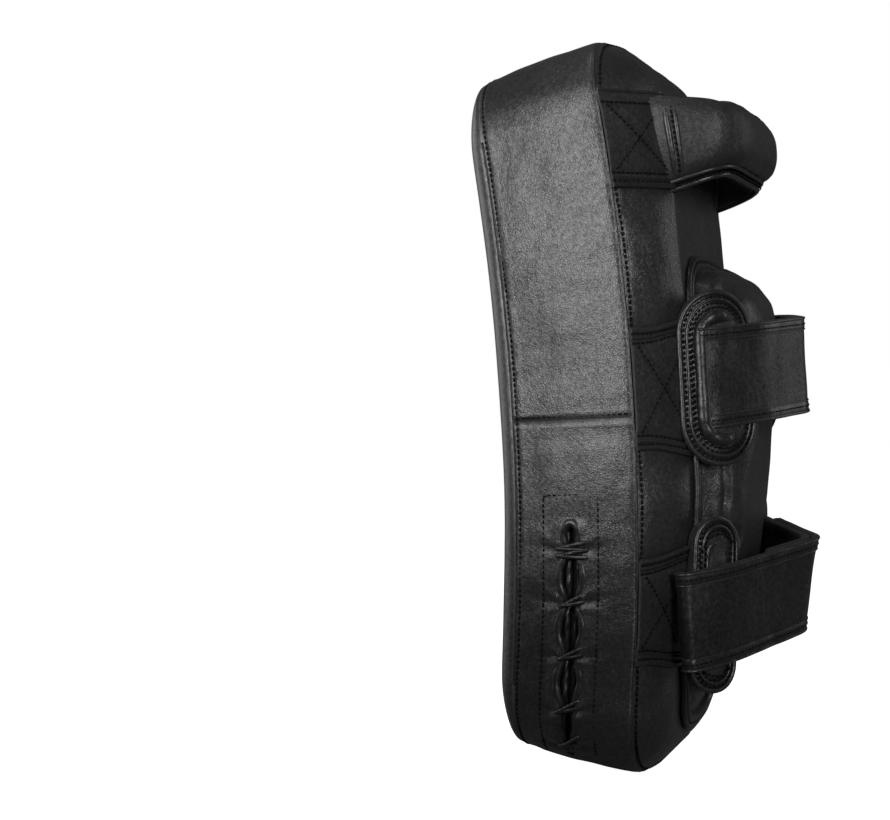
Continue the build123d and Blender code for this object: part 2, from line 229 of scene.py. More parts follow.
def tube(path, radius, up=(0, 0, 1), sides=10, closed=False, flat=1.0):
    """Points and faces of a tube along a path. flat squeezes it along up."""
    tangent = unit(np.gradient(path, axis=0))
    side = unit(np.cross(tangent, np.broadcast_to(up, path.shape)))
    top = np.cross(side, tangent)
    radius = np.broadcast_to(radius, (len(path),))[:, None]
    angles = 2 * math.pi * np.arange(sides) / sides
    rings = [path + (side * math.cos(angle) + top * (math.sin(angle) * flat)) * radius for angle in angles]
    return tube_mesh(np.stack(rings, axis=1), closed)


def join_parts(name, parts):
    """One object from several (points, faces) pairs."""
    faces, start = [], 0
    for part_points, part_faces in parts:
        faces += [[index + start for index in face] for face in part_faces]
        start += len(part_points)
    return make_object(name, np.concatenate([part[0] for part in parts]), faces)


STITCH_PITCH = 3.0
STITCH_LENGTH = 2.1
STITCH_AT = STITCH_LENGTH * np.array([-0.5, -0.36, 0, 0.36, 0.5])    # places along one stitch
STITCH_DIP = np.array([0.55, 0.12, 0, 0.12, 0.55])                   # how far they sink, in thread radii
STITCH_SIZE = np.array([0.35, 0.85, 1, 0.85, 0.35])                  # how thick they are, in thread radii


def stitches(line, normals, radius=0.6):
    """Thread stitches along a line of points that lie on a surface with these normals."""
    both = resample(np.concatenate([line, np.broadcast_to(normals, line.shape)], axis=1), STITCH_PITCH)
    places, ups = both[:, :3], unit(both[:, 3:])
    parts = []
    for a, b, up in zip(places[:-1], places[1:], ups[:-1]):
        path = (a + b) / 2 + STITCH_AT[:, None] * unit(b - a) - (STITCH_DIP * radius)[:, None] * up
        parts.append(tube(path, STITCH_SIZE * radius, up, 6))
    return parts


# ---- materials ----
class Nodes:
    """A node tree with short calls for the nodes that the materials share."""

    def __init__(self, tree):
        self.tree = tree

    def put(self, node, inputs):
        """Links sockets to a node's inputs and writes plain values."""
        for key, value in inputs.items():
            if isinstance(value, bpy.types.NodeSocket):
                self.tree.links.new(value, node.inputs[key])
            else:
                node.inputs[key].default_value = value

    def add(self, kind, inputs=None, **settings):
        """A new node with these settings and inputs."""
        node = self.tree.nodes.new("ShaderNode" + kind)
        for key, value in settings.items():
            setattr(node, key, value)
        self.put(node, inputs or {})
        return node

    def place(self, scale=(1.0, 1.0, 1.0)):
        """Object coordinates, scaled."""
        place = self.add("TexCoord").outputs["Object"]
        return self.add("Mapping", {"Vector": place, "Scale": scale}).outputs["Vector"]

    def noise(self, vector, scale, detail, distortion=0.0):
        """Fractal noise between 0 and 1."""
        inputs = {"Vector": vector, "Scale": scale, "Detail": detail, "Distortion": distortion}
        return self.add("TexNoise", inputs).outputs["Fac"]

    def maths(self, kind, a, b):
        """One operation on two sockets or numbers."""
        return self.add("Math", {0: a, 1: b}, operation=kind).outputs[0]

    def remap(self, value, low, high, to_low=0.0, to_high=1.0):
        """A value moved from one range to another and kept inside it."""
        ends = {"From Min": low, "From Max": high, "To Min": to_low, "To Max": to_high}
        return self.add("MapRange", {"Value": value, **ends}).outputs[0]

    def mix(self, factor, a, b):
        """A colour between two colours."""
        inputs = {"Factor": factor, "A": (*a, 1), "B": (*b, 1)}
        return self.add("Mix", inputs, data_type="RGBA").outputs["Result"]

    def bump(self, height, strength, distance, below=None):
        """Normals of a relief over other normals."""
        inputs = {"Height": height, "Strength": strength, "Distance": distance}
        if below:
            inputs["Normal"] = below
        return self.add("Bump", inputs).outputs["Normal"]


def new_material(name):
    """An empty node material, its nodes and its Principled shader."""
    material = bpy.data.materials.new(name)
    material.use_nodes = True
    return material, Nodes(material.node_tree), material.node_tree.nodes["Principled BSDF"]


def leather(name, shade, worn, rough, grain=800.0, depth=1.0, shine=0.5):
    """Black grained leather: pebbled grain, fine pores, soft creases and paler worn edges."""
    material, nodes, shader = new_material(name)
    vector = nodes.place()
    patchy = nodes.noise(vector, 14.0, 5, 0.4)
    fine = nodes.noise(vector, 480.0, 5, 0.3)
    swirl = nodes.add("TexNoise", {"Vector": vector, "Scale": grain * 0.35}).outputs["Color"]
    shift = nodes.add("VectorMath", {0: swirl, "Scale": 0.9 / grain}, operation="SCALE").outputs[0]
    warped = nodes.add("VectorMath", {0: vector, 1: shift}, operation="ADD").outputs[0]
    inputs = {"Vector": warped, "Scale": grain, "Randomness": 1.0}
    cells = nodes.add("TexVoronoi", inputs, feature="DISTANCE_TO_EDGE")
    pebble = nodes.remap(cells.outputs["Distance"], 0.0, 0.5)
    edge = nodes.remap(nodes.add("NewGeometry").outputs["Pointiness"], 0.51, 0.58)
    rubbed = nodes.maths("MULTIPLY", edge, patchy)
    amount = nodes.maths("ADD", nodes.maths("MULTIPLY", patchy, 0.2), rubbed)
    gloss = nodes.maths("MULTIPLY", nodes.maths("SUBTRACT", patchy, 0.5), 0.07)
    pores = nodes.maths("MULTIPLY", nodes.maths("SUBTRACT", fine, 0.5), 0.16)
    wrinkle = nodes.noise(nodes.place((1.0, 1.0, 0.55)), 42.0, 7, 0.9)
    normal = nodes.bump(wrinkle, 0.6, 0.0012)
    normal = nodes.bump(fine, 0.22 * depth, 0.0005, normal)
    relief = nodes.maths("ADD", nodes.maths("MULTIPLY", pebble, 0.35), fine)
    nodes.put(shader, {
        "Base Color": nodes.mix(amount, shade, worn),
        "Roughness": nodes.maths("ADD", nodes.maths("ADD", gloss, pores), rough),
        "Specular IOR Level": nodes.remap(relief, 0.4, 0.85, shine * 0.5, shine * 1.3),
        "Normal": nodes.bump(pebble, 0.2 * depth, 0.0003, normal),
        "Sheen Weight": 0.02,
        "Sheen Roughness": 0.45,
    })
    return material


def woven(name, shade, pitch, rough, strength=0.7, sheen=0.1, shine=0.4):
    """Plain weave: webbing, lining, tapes and thread."""
    material, nodes, shader = new_material(name)
    vector = nodes.place()
    heights = []
    for axis in "XYZ":
        inputs = {"Vector": vector, "Scale": 0.157 / pitch, "Distortion": 0.6}
        heights.append(nodes.add("TexWave", inputs, bands_direction=axis).outputs["Fac"])
    heights.append(nodes.noise(vector, 900.0, 4))
    height = heights[0]
    for other in heights[1:]:
        height = nodes.maths("ADD", height, other)
    dark, pale = ([part * share for part in shade] for share in (0.5, 1.6))
    nodes.put(shader, {
        "Base Color": nodes.mix(nodes.remap(height, 0.8, 3.2), dark, pale),
        "Normal": nodes.bump(height, strength, 0.0002),
        "Roughness": rough,
        "Specular IOR Level": shine,
        "Sheen Weight": sheen,
    })
    return material


BLACK = (0.003, 0.003, 0.0032)
DARK, DARK_WORN = (0.006, 0.006, 0.0062), (0.020, 0.020, 0.021)
FACE_LEATHER = leather("face_leather", (0.012, 0.012, 0.0125), (0.036, 0.036, 0.038), 0.38, depth=0.9)
WALL_LEATHER = leather("wall_leather", (0.007, 0.007, 0.0074), (0.022, 0.022, 0.023), 0.39, depth=1.6)
BACK_LEATHER = leather("back_leather", DARK, DARK_WORN, 0.38, depth=1.5, shine=0.45)
TRIM_LEATHER = leather("trim_leather", BLACK, (0.016, 0.016, 0.017), 0.34, grain=1300.0, depth=0.6, shine=0.4)
LIP_LEATHER = leather("lip_leather", BLACK, (0.014, 0.014, 0.015), 0.36, depth=0.8, shine=0.36)
GRIP_LEATHER = leather("grip_leather", DARK, DARK_WORN, 0.48, depth=1.5, shine=0.3)
NUBUCK = leather("nubuck", (0.002, 0.002, 0.0021), (0.007, 0.007, 0.0074), 0.39, grain=1100.0, depth=1.3,
                 shine=0.4)
THREAD = woven("thread", (0.0008, 0.0008, 0.0008), 0.0004, 0.6, sheen=0.0, shine=0.1)
WEBBING = woven("webbing", (0.006, 0.006, 0.0065), 0.0012, 0.7)
LINING = woven("lining", (0.002, 0.002, 0.0022), 0.0012, 0.8, strength=0.4, sheen=0.0, shine=0.15)
HOOK_TAPE = woven("hook_tape", (0.004, 0.004, 0.004), 0.0007, 0.85, strength=1.0)
CORD = woven("cord", (0.004, 0.004, 0.004), 0.0006, 0.38, strength=0.4, sheen=0.0)
FOAM = woven("foam", (0.02, 0.02, 0.02), 0.002, 0.9)


def coat(piece, material, *stands_for):
    """Give a piece its material and hide the CAD nodes that it stands for."""
    piece.data.materials.clear()
    piece.data.materials.append(material)
    if stands_for:
        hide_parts(*stands_for)


def dress(piece, body, material, *stands_for):
    """The same, for a piece that rides on one body."""
    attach(piece, body)
    coat(piece, material, *stands_for)


# ---- the pad's side wall ----
def bow(depth, height):
    """Depth along Y, at some height, of a layer of the bowed pad."""
    return -BOW_RADIUS + np.sqrt((BOW_RADIUS + depth) ** 2 - np.asarray(height, float) ** 2)


def half_size(depth, height=0.0):
    """Half width and half height of the side wall's plan at one depth."""
    tall = BACK_HALF_HEIGHT + (BACK_HALF_HEIGHT - FRONT_HALF_HEIGHT) * (depth + END_BOW) / GUSSET_DEPTH
    wide = BACK_HALF_WIDTH + (BACK_HALF_WIDTH - FRONT_HALF_WIDTH) * depth / GUSSET_DEPTH
    return wide * (1 + WIDTH_TAPER * height / BACK_HALF_HEIGHT), tall


LANE_FLATS = (55.0, 150.0)    # rounded half lengths of the plan's straight sides
CORE_HEIGHT = 150.5           # half height of the core rectangle, which places the dart
DART_CORE = DART_HEIGHT / CORE_HEIGHT
DART_STITCHES = 1.8           # the dart's stitches run this far above it
UPPER_LANE = [(1, DART_CORE), (1, 1), (-1, 1), (-1, DART_CORE)]
LOWER_LANE = [(-1, DART_CORE), (-1, -1), (1, -1), (1, DART_CORE)]
OUTLINE = [(0, -1), (1, -1), (1, 1), (-1, 1), (-1, -1), (0, -1)]


def stations(corners, flats=LANE_FLATS, turn_step=1.6, step=2.0):
    """Places anticlockwise along the wall's plan: points of the core rectangle and outward directions.

    corners are points of the core rectangle, whose own corners are at 1 and -1. The plan turns at each.
    """
    core, out = [], []
    turns = int(round(CORNER_RADIUS * math.pi / 2 / turn_step))
    for start, end in zip(np.array(corners[:-1], float), np.array(corners[1:], float)):
        along = unit(end - start)
        outward = (along[1], -along[0])
        if core:
            for t in np.arange(turns) / turns:
                angle = math.atan2(outward[1], outward[0]) - (1 - t) * math.pi / 2
                core.append(start)
                out.append((math.cos(angle), math.sin(angle)))
        count = int(round(np.linalg.norm((end - start) * flats) / step))
        for t in np.arange(count) / count:
            core.append(start * (1 - t) + end * t)
            out.append(outward)
    if corners[0] != corners[-1]:
        core.append(end)
        out.append(outward)
    return np.array(core), np.array(out)


CORE, OUT = stations(OUTLINE, np.array(half_size(-GUSSET_DEPTH / 2)) - CORNER_RADIUS, 2.0)


def wall_points(core, out, depth, lift=0.0):
    """Points of the side wall at stations and a depth, pushed out by lift."""
    y = depth + 0 * core[..., 0]
    for _ in range(6):
        z = core[..., 1] * (half_size(y)[1] - CORNER_RADIUS) + out[..., 1] * CORNER_RADIUS
        x = core[..., 0] * (half_size(y, z)[0] - CORNER_RADIUS) + out[..., 0] * CORNER_RADIUS
        y = bow(depth, z)
    return xyz(x + lift * out[..., 0], y, z + lift * out[..., 1])


def seam_half_width(depth):
    """Function of height that gives the plan's half width on a seam."""
    points = wall_points(CORE, OUT, depth)
    right = points[CORE[:, 0] == 1]
    right = right[np.argsort(right[:, 2])]
    return lambda z: np.interp(z, right[:, 2], right[:, 0])


def wall_lift(edge_gap):
    """How far the side wall stands out: pinched at both seams, softly full between them."""
    other = GUSSET_DEPTH - edge_gap
    pinch = -0.9 * np.exp(-edge_gap / 0.7) - 0.8 * np.exp(-other / 1.0)
    groove = -0.35 * bump_at(edge_gap - 2.6, 0.8)
    ridge = 0.3 * bump_at(edge_gap - 4.6, 1.2)
    return pinch + groove + ridge + 1.6 * np.sin(math.pi * edge_gap / GUSSET_DEPTH) ** 0.8


def dart_pinch(points):
    """Inward pull of the wall at the seam that crosses it halfway up."""
    gap = np.abs(points[..., 2] - DART_HEIGHT)
    return -1.5 * np.exp(-gap / 0.7) + 0.3 * bump_at(gap - 2.2, 1.2)


LACE_TOP = -58.5
LACE_BOTTOM = -186.0
LACE_DEPTH = -36.0
LACE_HALF_GAP = 7.2
LACE_ROWS = (-74.0, -102.0, -131.0, -160.0, -180.0)
# height and distance from the slot of the corners of the stitched facing
FACING_CORNERS = [(-188.0, -15.5), (-44.0, -15.5), (-44.0, 15.5), (-188.0, 15.5)]
# strands, thickness, reach and slope of the cord's crossings in the top row and in the others
TOP_CROSSING = (4, 1.35, 9.2, 0.6)
CROSSING = (2, 1.15, 7.4, 2.6)


def in_laces(points):
    """True beside the laced slot, by height and side."""
    return (points[..., 0] > 0) & (points[..., 2] < LACE_TOP) & (points[..., 2] > LACE_BOTTOM)


def at_rows(z, width):
    """1 at the heights where the cord crosses the slot, falling to 0 over about this width."""
    return sum(bump_at(z - row, width) for row in LACE_ROWS)


def lace_gap(z):
    """Half width of the open slot at a height: rounded ends, drawn in where the cord crosses."""
    middle, half = (LACE_TOP + LACE_BOTTOM) / 2, (LACE_TOP - LACE_BOTTOM) / 2
    share = np.clip(np.abs((z - middle) / half), 0, 1)
    return (LACE_HALF_GAP - 3.1 * at_rows(z, 8.0)) * (1 - share ** 7) ** 0.5


def lace_wrinkles(points, depth):
    """Folds that run out from the cord's holes."""
    total = np.zeros(points.shape[:-1])
    for index, row in enumerate(LACE_ROWS):
        fade = 7.0 + 3 * (index % 2)
        for side in (-1, 1):
            across = (depth - LACE_DEPTH) * side
            reach = np.exp(-np.clip(across - 5.0, 0, 99) / fade) * (across > 0)
            for fold, height in ((-1, 0.7), (0, -1.2), (1, 0.7)):
                line = points[..., 2] - row - (0.55 * fold + 0.2) * (across - 5.0) - fold * 1.2
                total += 1.5 * height * bump_at(line, 1.6) * reach
    return total


def gusset_surface(core, out, depth, laced=False):
    """The wall's outer skin over stations and a grid of depths, with its pinches, folds and slow waves."""
    core, out = (np.repeat(part[:, None], depth.shape[1], 1) for part in (core, out))
    base = wall_points(core, out, depth)
    lift = wall_lift(depth + GUSSET_DEPTH) + dart_pinch(base)
    lift = lift + 0.35 * waves(base, 46.0, 3) + 0.16 * waves(base, 15.0, 4)
    near = (base[..., 0] > 0) & (base[..., 2] < DART_HEIGHT) & (np.abs(depth - LACE_DEPTH) < 32)
    lift = lift + np.where(near, lace_wrinkles(base, depth), 0.0)
    if laced:
        beside = np.abs(depth - LACE_DEPTH) - lace_gap(base[..., 2]) - 2.0
        lift = lift + 0.9 * bump_at(beside, 3.4) * in_laces(base)
    return base + lift[..., None] * xyz(out[..., 0], 0.0, out[..., 1])


def make_gusset():
    """The wall's upper strip over the top, and its lower strip, split open along the lace slot."""
    core, out = stations(UPPER_LANE)
    depth = np.tile(clustered(GUSSET_DEPTH, 2.0) - GUSSET_DEPTH, (len(core), 1))
    upper = thick_sheet("gusset_upper", gusset_surface(core, out, depth), LEATHER, (0, 0, 1))
    dress(upper, "pad", WALL_LEATHER, "side_wall_upper", "core_foam")
    core, out = stations(LOWER_LANE)
    slot = wall_points(core, out, LACE_DEPTH)
    gap = np.where(in_laces(slot), lace_gap(slot[:, 2]), 0.0)[:, None]
    wide = GUSSET_DEPTH + LACE_DEPTH
    front = clustered(wide, 1.6) / wide
    back = clustered(-LACE_DEPTH, 1.6) / -LACE_DEPTH
    low = -GUSSET_DEPTH + front * (wide - gap)
    high = LACE_DEPTH + gap + back * (-LACE_DEPTH - gap)
    points = gusset_surface(core, out, np.concatenate([low, high], axis=1), True)
    lower = thick_sheet("gusset_lower", points, LEATHER, (0, 0, -1), low.shape[1] - 1, gap[:, 0] > 0.05)
    dress(lower, "pad", WALL_LEATHER, "side_wall_lower", "backing_foam")


def seam_line(depth, lift):
    """A closed line of points round the wall at one depth, with outward normals."""
    core, out = (np.concatenate([part, part[:1]]) for part in (CORE, OUT))
    return wall_points(core, out, depth, lift), xyz(out[:, 0], 0.0, out[:, 1])


# name, depth, height above the seam and radius of the welt in each long seam
WELTS = (("front", -GUSSET_DEPTH, -1.3, 0.9), ("back", 0.0, -1.4, 1.0))
SEAM_STITCH_GAP = 2.6


def make_edge_seams():
    """Thin welts in both long seams and the stitch rows beside them, and the dart's stitches."""
    for name, depth, lift, radius in WELTS:
        loop = seam_line(depth, lift)[0][:-1]
        welt = make_object(name + "_seam_welt", *tube(loop, radius, (0, 1, 0), closed=True))
        dress(welt, "pad", TRIM_LEATHER, name + "_edge_welt")
    parts = stitches(*seam_line(-GUSSET_DEPTH + SEAM_STITCH_GAP, 0.2))
    loop = seam_line(0.0, -SEAM_STITCH_GAP)[0]
    parts += stitches(back_point(loop[:, 0], loop[:, 2], 0.1), back_normal(loop[:, 0], loop[:, 2]), 0.8)
    dress(join_parts("seam_stitches", parts), "pad", THREAD)
    parts = []
    depth = np.linspace(-GUSSET_DEPTH + 2, -2, 40)
    for side in (-1.0, 1.0):
        core = np.tile([side, (DART_HEIGHT + DART_STITCHES) / CORE_HEIGHT], (len(depth), 1))
        out = np.tile([side, 0.0], (len(depth), 1))
        parts += stitches(wall_points(core, out, depth, 1.2), (side, 0.0, 0.0), 0.55)
    dress(join_parts("dart_stitches", parts), "pad", THREAD)


# ---- strike face ----
FACE_CROWN = 11.5      # how far the face stands ahead of its seam in the middle, fuller than the CAD's
FACE_EDGE = 9.4        # and where its rolled edge ends
EMBLEM_HEIGHT = 84.0
EMBLEM_RADIUS = 50.0
BADGE_HEIGHT = -135.0
BADGE_RADIUS = 21.0


def rounded_inset(x, z, wide, tall, radius):
    """Distance inwards from the edge of a rounded rectangle."""
    qx = np.abs(x) - (wide - radius)
    qz = np.abs(z) - (tall - radius)
    outside = np.hypot(np.maximum(qx, 0), np.maximum(qz, 0))
    return radius - outside - np.minimum(np.maximum(qx, qz), 0)


def pressed(distance, half, depth, soft=0.6):
    """A pressed groove of this half width and depth."""
    return depth / (1 + np.exp((np.abs(distance) - half) / (soft * 0.5)))


def emblem(x, z):
    """Plain rings, spokes and a square pressed into the face."""
    z = z - EMBLEM_HEIGHT
    r = np.hypot(x, z)
    spoke = 1 / (1 + np.exp(-(np.cos(np.arctan2(z, x) * 8) - 0.1) * 7))
    depth = pressed(r - EMBLEM_RADIUS, 1.2, 0.9) + pressed(r - EMBLEM_RADIUS + 6, 0.6, 0.6)
    depth += pressed(r - 25.0, 1.2, 0.9) + pressed(r - 34.5, 5.0, 0.8, 1.6) * spoke
    return depth + pressed(np.maximum(np.abs(x), np.abs(z)) - 10.0, 1.3, 0.9)


def badge(x, z):
    """A plain round stamp near the bottom of the face."""
    r = np.hypot(x, z - BADGE_HEIGHT)
    rings = pressed(r - BADGE_RADIUS, 0.7, 0.9) + pressed(r - BADGE_RADIUS + 6, 0.7, 0.9)
    return rings + 0.5 * pressed(r - 7.0, 1.0, 0.9)


def make_face():
    """The strike face: crowned, rolled over at its edge, creased and pressed with plain rings."""
    tall = wall_points(CORE, OUT, -GUSSET_DEPTH)[:, 2].max() - 0.2
    rows = clustered(2 * tall, 1.25, (0, 0.1, 0.3, 0.6, 1.0, 1.5, 2.2, 3.0, 4.0, 5.2)) - tall
    columns = clustered(2.0, 0.014, (0, 0.001, 0.003, 0.007, 0.012, 0.019, 0.028, 0.04)) - 1.0
    z = np.repeat(rows[:, None], len(columns), 1)
    x = columns * seam_half_width(-GUSSET_DEPTH)(z)
    wide = half_size(bow(-GUSSET_DEPTH, z), z)[0]
    inset = np.maximum(rounded_inset(x, z, wide, tall, CORNER_RADIUS), 0)
    reach = 15.0 + 4.0 * ease((np.abs(z) - 140) / 45)
    roll = np.sqrt(1 - (1 - np.clip(inset / reach, 0, 1)) ** 2)
    crown = 1 - (1 - np.clip(inset / 60.0, 0, 1)) ** 2
    spots = xyz(x, 0.0, z)
    slow = 0.5 * waves(spots, 90.0, 11) + 0.05 * waves(spots * (1, 1, 1.6), 30.0, 12)
    creases = 0.2 * np.clip(waves(spots * (0.7, 1, 1.6), 17.0, 13) - 0.5, 0, 2) * ease((-x - 30) / 60)
    rise = (FACE_EDGE - 2.6 * ease((np.abs(z) - 130) / 55)) * roll + (FACE_CROWN - FACE_EDGE) * crown
    rise = rise + (slow - creases) * np.clip(inset / 20, 0, 1)
    y = bow(-GUSSET_DEPTH, z) - rise + emblem(x, z) + badge(x, z)
    face = thick_sheet("face_leather_panel", xyz(x, y, z), LEATHER, (0, -1, 0))
    dress(face, "pad", FACE_LEATHER, "strike_face_panel", "strike_foam")


# ---- back surface ----
# height and depth of the back's raised middle, from the bottom end to the top end
BACK_PROFILE = [(-201, -16), (-197, -7), (-185, 1.5), (-165, 6), (-140, 9), (-95, 19), (-45, 24), (50, 24),
                (85, 22), (120, 20.5), (150, 18.5), (168, 15), (181, 9.5), (190, 4), (197, -4), (201, -16)]
BACK_TOP = smooth_table(BACK_PROFILE, 3.0)
BACK_EDGE = seam_half_width(0.0)
BEVEL = 35.0
PUFF = 3.4
# lower edge, upper edge and inner end of each reinforcement band, from the bottom up
BANDS = {"band_lower": (-134.0, -80.0, 60.0), "band_middle": (-21.0, 41.0, 60.0),
         "band_top": (117.0, 168.0, 62.0)}
BAND_FLARE = 5.0
BAND_THICKNESS = 1.6
BAND_ROLLS = ((0.3, 1.5), (4.0, 1.15))    # distance in from the edge and radius of each binding roll
BAND_TOP_ROLLS = ((0.2, 1.0),)
BAND_STITCH_GAPS = (6.8, 2.2)
CROSS_INSET = 8.0
BAND_SEAMS = [-203.0, *(height for band in BANDS.values() for height in band[:2]), 203.0]


def back_y(x, z, puffed=True):
    """Depth of the back's skin: a raised middle with bevels that fall to the seam."""
    rise = np.clip((BACK_EDGE(z) - np.abs(x)) / BEVEL, 0, 1)
    shape = 0.8 * rise + 0.2 * np.sin(rise * math.pi / 2)
    seam = bow(0.0, z)
    y = seam + (np.maximum(BACK_TOP(z), seam) - seam) * shape
    if puffed:
        for low, high in zip(BAND_SEAMS[::2], BAND_SEAMS[1::2]):
            share = np.clip((z - low) / (high - low), 0, 1)
            y = y + PUFF * np.sin(math.pi * share) ** 0.6 * (4 * rise * (1 - rise))
    return y


def back_normal(x, z):
    """Unit normals of the back's skin."""
    dx = (back_y(x + 1.0, z) - back_y(x - 1.0, z)) / 2
    dz = (back_y(x, z + 1.0) - back_y(x, z - 1.0)) / 2
    return unit(xyz(-dx, 1.0, -dz))


def back_point(x, z, lift=0.0):
    """Points on the back's skin, raised by lift along its normals."""
    return xyz(x, back_y(x, z), z) + back_normal(x, z) * np.asarray(lift)[..., None]


def back_stitches(x, z, lift, radius=0.6):
    """Stitches along a line on the back's skin."""
    return stitches(back_point(x, z, lift), back_normal(x, z), radius)


def make_back_panels():
    """Three back panels: bevels on each side and the middle between the inner seams."""
    fine = (0, 0.2, 0.6, 1.2, 2.0, 3.0, 4.2, 5.6)
    rows = clustered(2 * BACK_HALF_HEIGHT - 1.0, 2.2, fine)[:, None] - BACK_HALF_HEIGHT + 0.5
    wide = BACK_EDGE(rows)
    inner = np.minimum(INNER_SEAM_X, wide - 12.0)
    share = clustered(1.0, 0.03, (0, 0.012, 0.03, 0.06, 0.1))
    for name, low, high, *foam in (("lace_side", inner, wide), ("centre", -inner, inner, "back_dome_foam"),
                                   ("plain_side", -wide, -inner)):
        x = low + (high - low) * share
        near = wide - np.abs(x)
        pull = -1.2 * np.exp(-near) - 0.35 * bump_at(near - 2.6, 0.8)
        ripple = 0.3 * waves(xyz(x, 0.0, rows), 24.0, 21) * np.clip(near / 6, 0, 1)
        points = back_point(x, rows + 0 * x, pull + ripple)
        panel = thick_sheet("back_panel_%s_leather" % name, points, LEATHER, (0, 1, 0))
        dress(panel, "pad", BACK_LEATHER, "back_panel_" + name, *foam)


# ---- bands ----
def band_edges(name, x):
    """Lower and upper edge heights of a band at a distance out from the middle: it flares to the patches."""
    low, high, _ = BANDS[name]
    flare = (0.0 if name == "band_top" else BAND_FLARE) * ease((95 - np.abs(x)) / 30)
    return low - flare, high + flare


def make_band(name, side, label):
    """A cross band on one bevel with rolled bindings, edge stitches and a sewn cross."""
    outer_x = BACK_EDGE(sum(BANDS[name][:2]) / 2) - 0.6
    inner_x = BANDS[name][2]
    x = (inner_x + (outer_x - inner_x) * clustered(1.0, 0.045, (0, 0.02, 0.05)))[:, None]
    low, high = band_edges(name, x)
    z = low + (high - low) * clustered(1.0, 0.03, (0, 0.01, 0.03, 0.06))
    near = np.minimum(z - low, high - z)
    diagonal = (z - low) - (x - inner_x) / (outer_x - inner_x) * (high - low)
    lift = 1.7 + 0.9 * ease((near - 4) / 8.0) - 0.4 * bump_at(near - 6.8, 1.0) - 0.25 * bump_at(diagonal, 2.2)
    points = back_point(np.minimum(x, BACK_EDGE(z) - 0.6) * side, z, lift)
    piece = thick_sheet("%s_leather_%s" % (name, label), points, BAND_THICKNESS, (0, 1, 0))
    dress(piece, "pad", BACK_LEATHER, *([name] if side > 0 else []))
    rolls, parts = [], []
    across = x[:, 0] * side
    for edge, way in ((low[:, 0], 1), (high[:, 0], -1)):
        plain = name == "band_top" and way < 0
        for offset, radius in BAND_TOP_ROLLS if plain else BAND_ROLLS:
            line = back_point(across, edge + way * offset, 1.7)[::side]
            rolls.append(tube(resample(line, 1.5), radius, (0, 1, 0), flat=0.85))
        inner_row, outer_row = (edge + way * gap for gap in BAND_STITCH_GAPS)
        parts += stitches(back_point(across, inner_row, 2.1), back_normal(across, inner_row))
        if not plain:
            parts += back_stitches(across, outer_row, 2.2, 0.45)
    dress(join_parts("%s_binding_%s" % (name, label), rolls), "pad", TRIM_LEATHER)
    bottom, top = band_edges(name, 90.0)
    ends = np.array([70.0, outer_x - 2.5]) * side
    bottom, top = bottom + CROSS_INSET, top - CROSS_INSET
    for heights in ((bottom, top), (top, bottom)):
        span = np.linspace((ends[0], heights[0]), (ends[1], heights[1]), 20)
        parts += back_stitches(span[:, 0], span[:, 1], 2.85, 0.55)
    dress(join_parts("%s_stitches_%s" % (name, label), parts), "pad", THREAD)


# ---- padded pieces ----
def apply_modifiers(piece):
    """Bakes the piece's modifiers into its mesh."""
    view = bpy.context.evaluated_depsgraph_get()
    mesh = bpy.data.meshes.new_from_object(piece.evaluated_get(view))
    piece.modifiers.clear()
    piece.data = mesh


def read_vertices(mesh, what="co"):
    """Vertex places in metres, or normals, as an array."""
    flat = np.empty(len(mesh.vertices) * 3)
    mesh.vertices.foreach_get(what, flat)
    return flat.reshape(-1, 3)


def write_vertices(mesh, points):
    """Puts a mesh's vertices at these places in metres."""
    mesh.vertices.foreach_set("co", points.ravel())
    mesh.update()


def swell(piece, cap, hold, voxel, pressure):
    """Pads a closed piece with cloth pressure. hold(points in mm) says how free each point is, 0 to 1."""
    remesh = piece.modifiers.new("remesh", "REMESH")
    remesh.mode = "VOXEL"
    remesh.voxel_size = voxel * MM
    apply_modifiers(piece)
    start = read_vertices(piece.data)
    cloth = piece.modifiers.new("cloth", "CLOTH")
    cloth.settings.use_pressure = True
    cloth.settings.uniform_pressure_force = pressure
    cloth.settings.effector_weights.gravity = 0.0
    cloth.settings.mass = 0.4
    scene = bpy.context.scene
    scene.frame_start = 1
    for number in range(1, 21):
        scene.frame_set(number)
    view = bpy.context.evaluated_depsgraph_get()
    moved = read_vertices(piece.evaluated_get(view).data) - start
    piece.modifiers.clear()
    scene.frame_set(1)
    size = np.linalg.norm(moved, axis=1, keepdims=True)
    limit = cap * MM
    moved *= limit * np.tanh(size / limit) / np.maximum(size, 1e-12)
    write_vertices(piece.data, start + moved * hold(start / MM)[:, None])
    piece.modifiers.new("fine", "SUBSURF").levels = 1
    apply_modifiers(piece)
    smooth(piece, 180)


def displace(piece, change):
    """Moves each point along its normal by change(points in mm, normals), in mm."""
    points = read_vertices(piece.data) / MM
    normals = read_vertices(piece.data, "normal")
    write_vertices(piece.data, (points + normals * change(points, normals)[:, None]) * MM)


# half width of the cushion and its height on the pad, from its bottom end to its top end
CUSHION_OUTLINE = [(0, -178), (26, -175), (42, -164), (52, -140), (57, -115), (59.5, -58), (60, 0), (60, 36),
                   (58, 54), (50, 68), (34, 75), (0, 76.5)]
CUSHION_HALF_WIDTH = smooth_table([(z, x) for x, z in CUSHION_OUTLINE], 3.0)
CUSHION_CROWN = smooth_table([(-178, 4), (-160, 14), (-140, 24), (-120, 33), (-58, 44.5), (-20, 50),
                              (0, 52.5), (34, 58), (48, 58), (60, 53), (66, 48), (74, 36), (80, 30)], 2.4)
CUSHION_LOW = -176.0
CUSHION_HIGH = 76.0
CUSHION_ROLLS = ((1.2, 2.3), (5.2, 1.9))    # distance outside the cushion's foot and radius of each roll
CUSHION_STITCH_GAP = 3.3


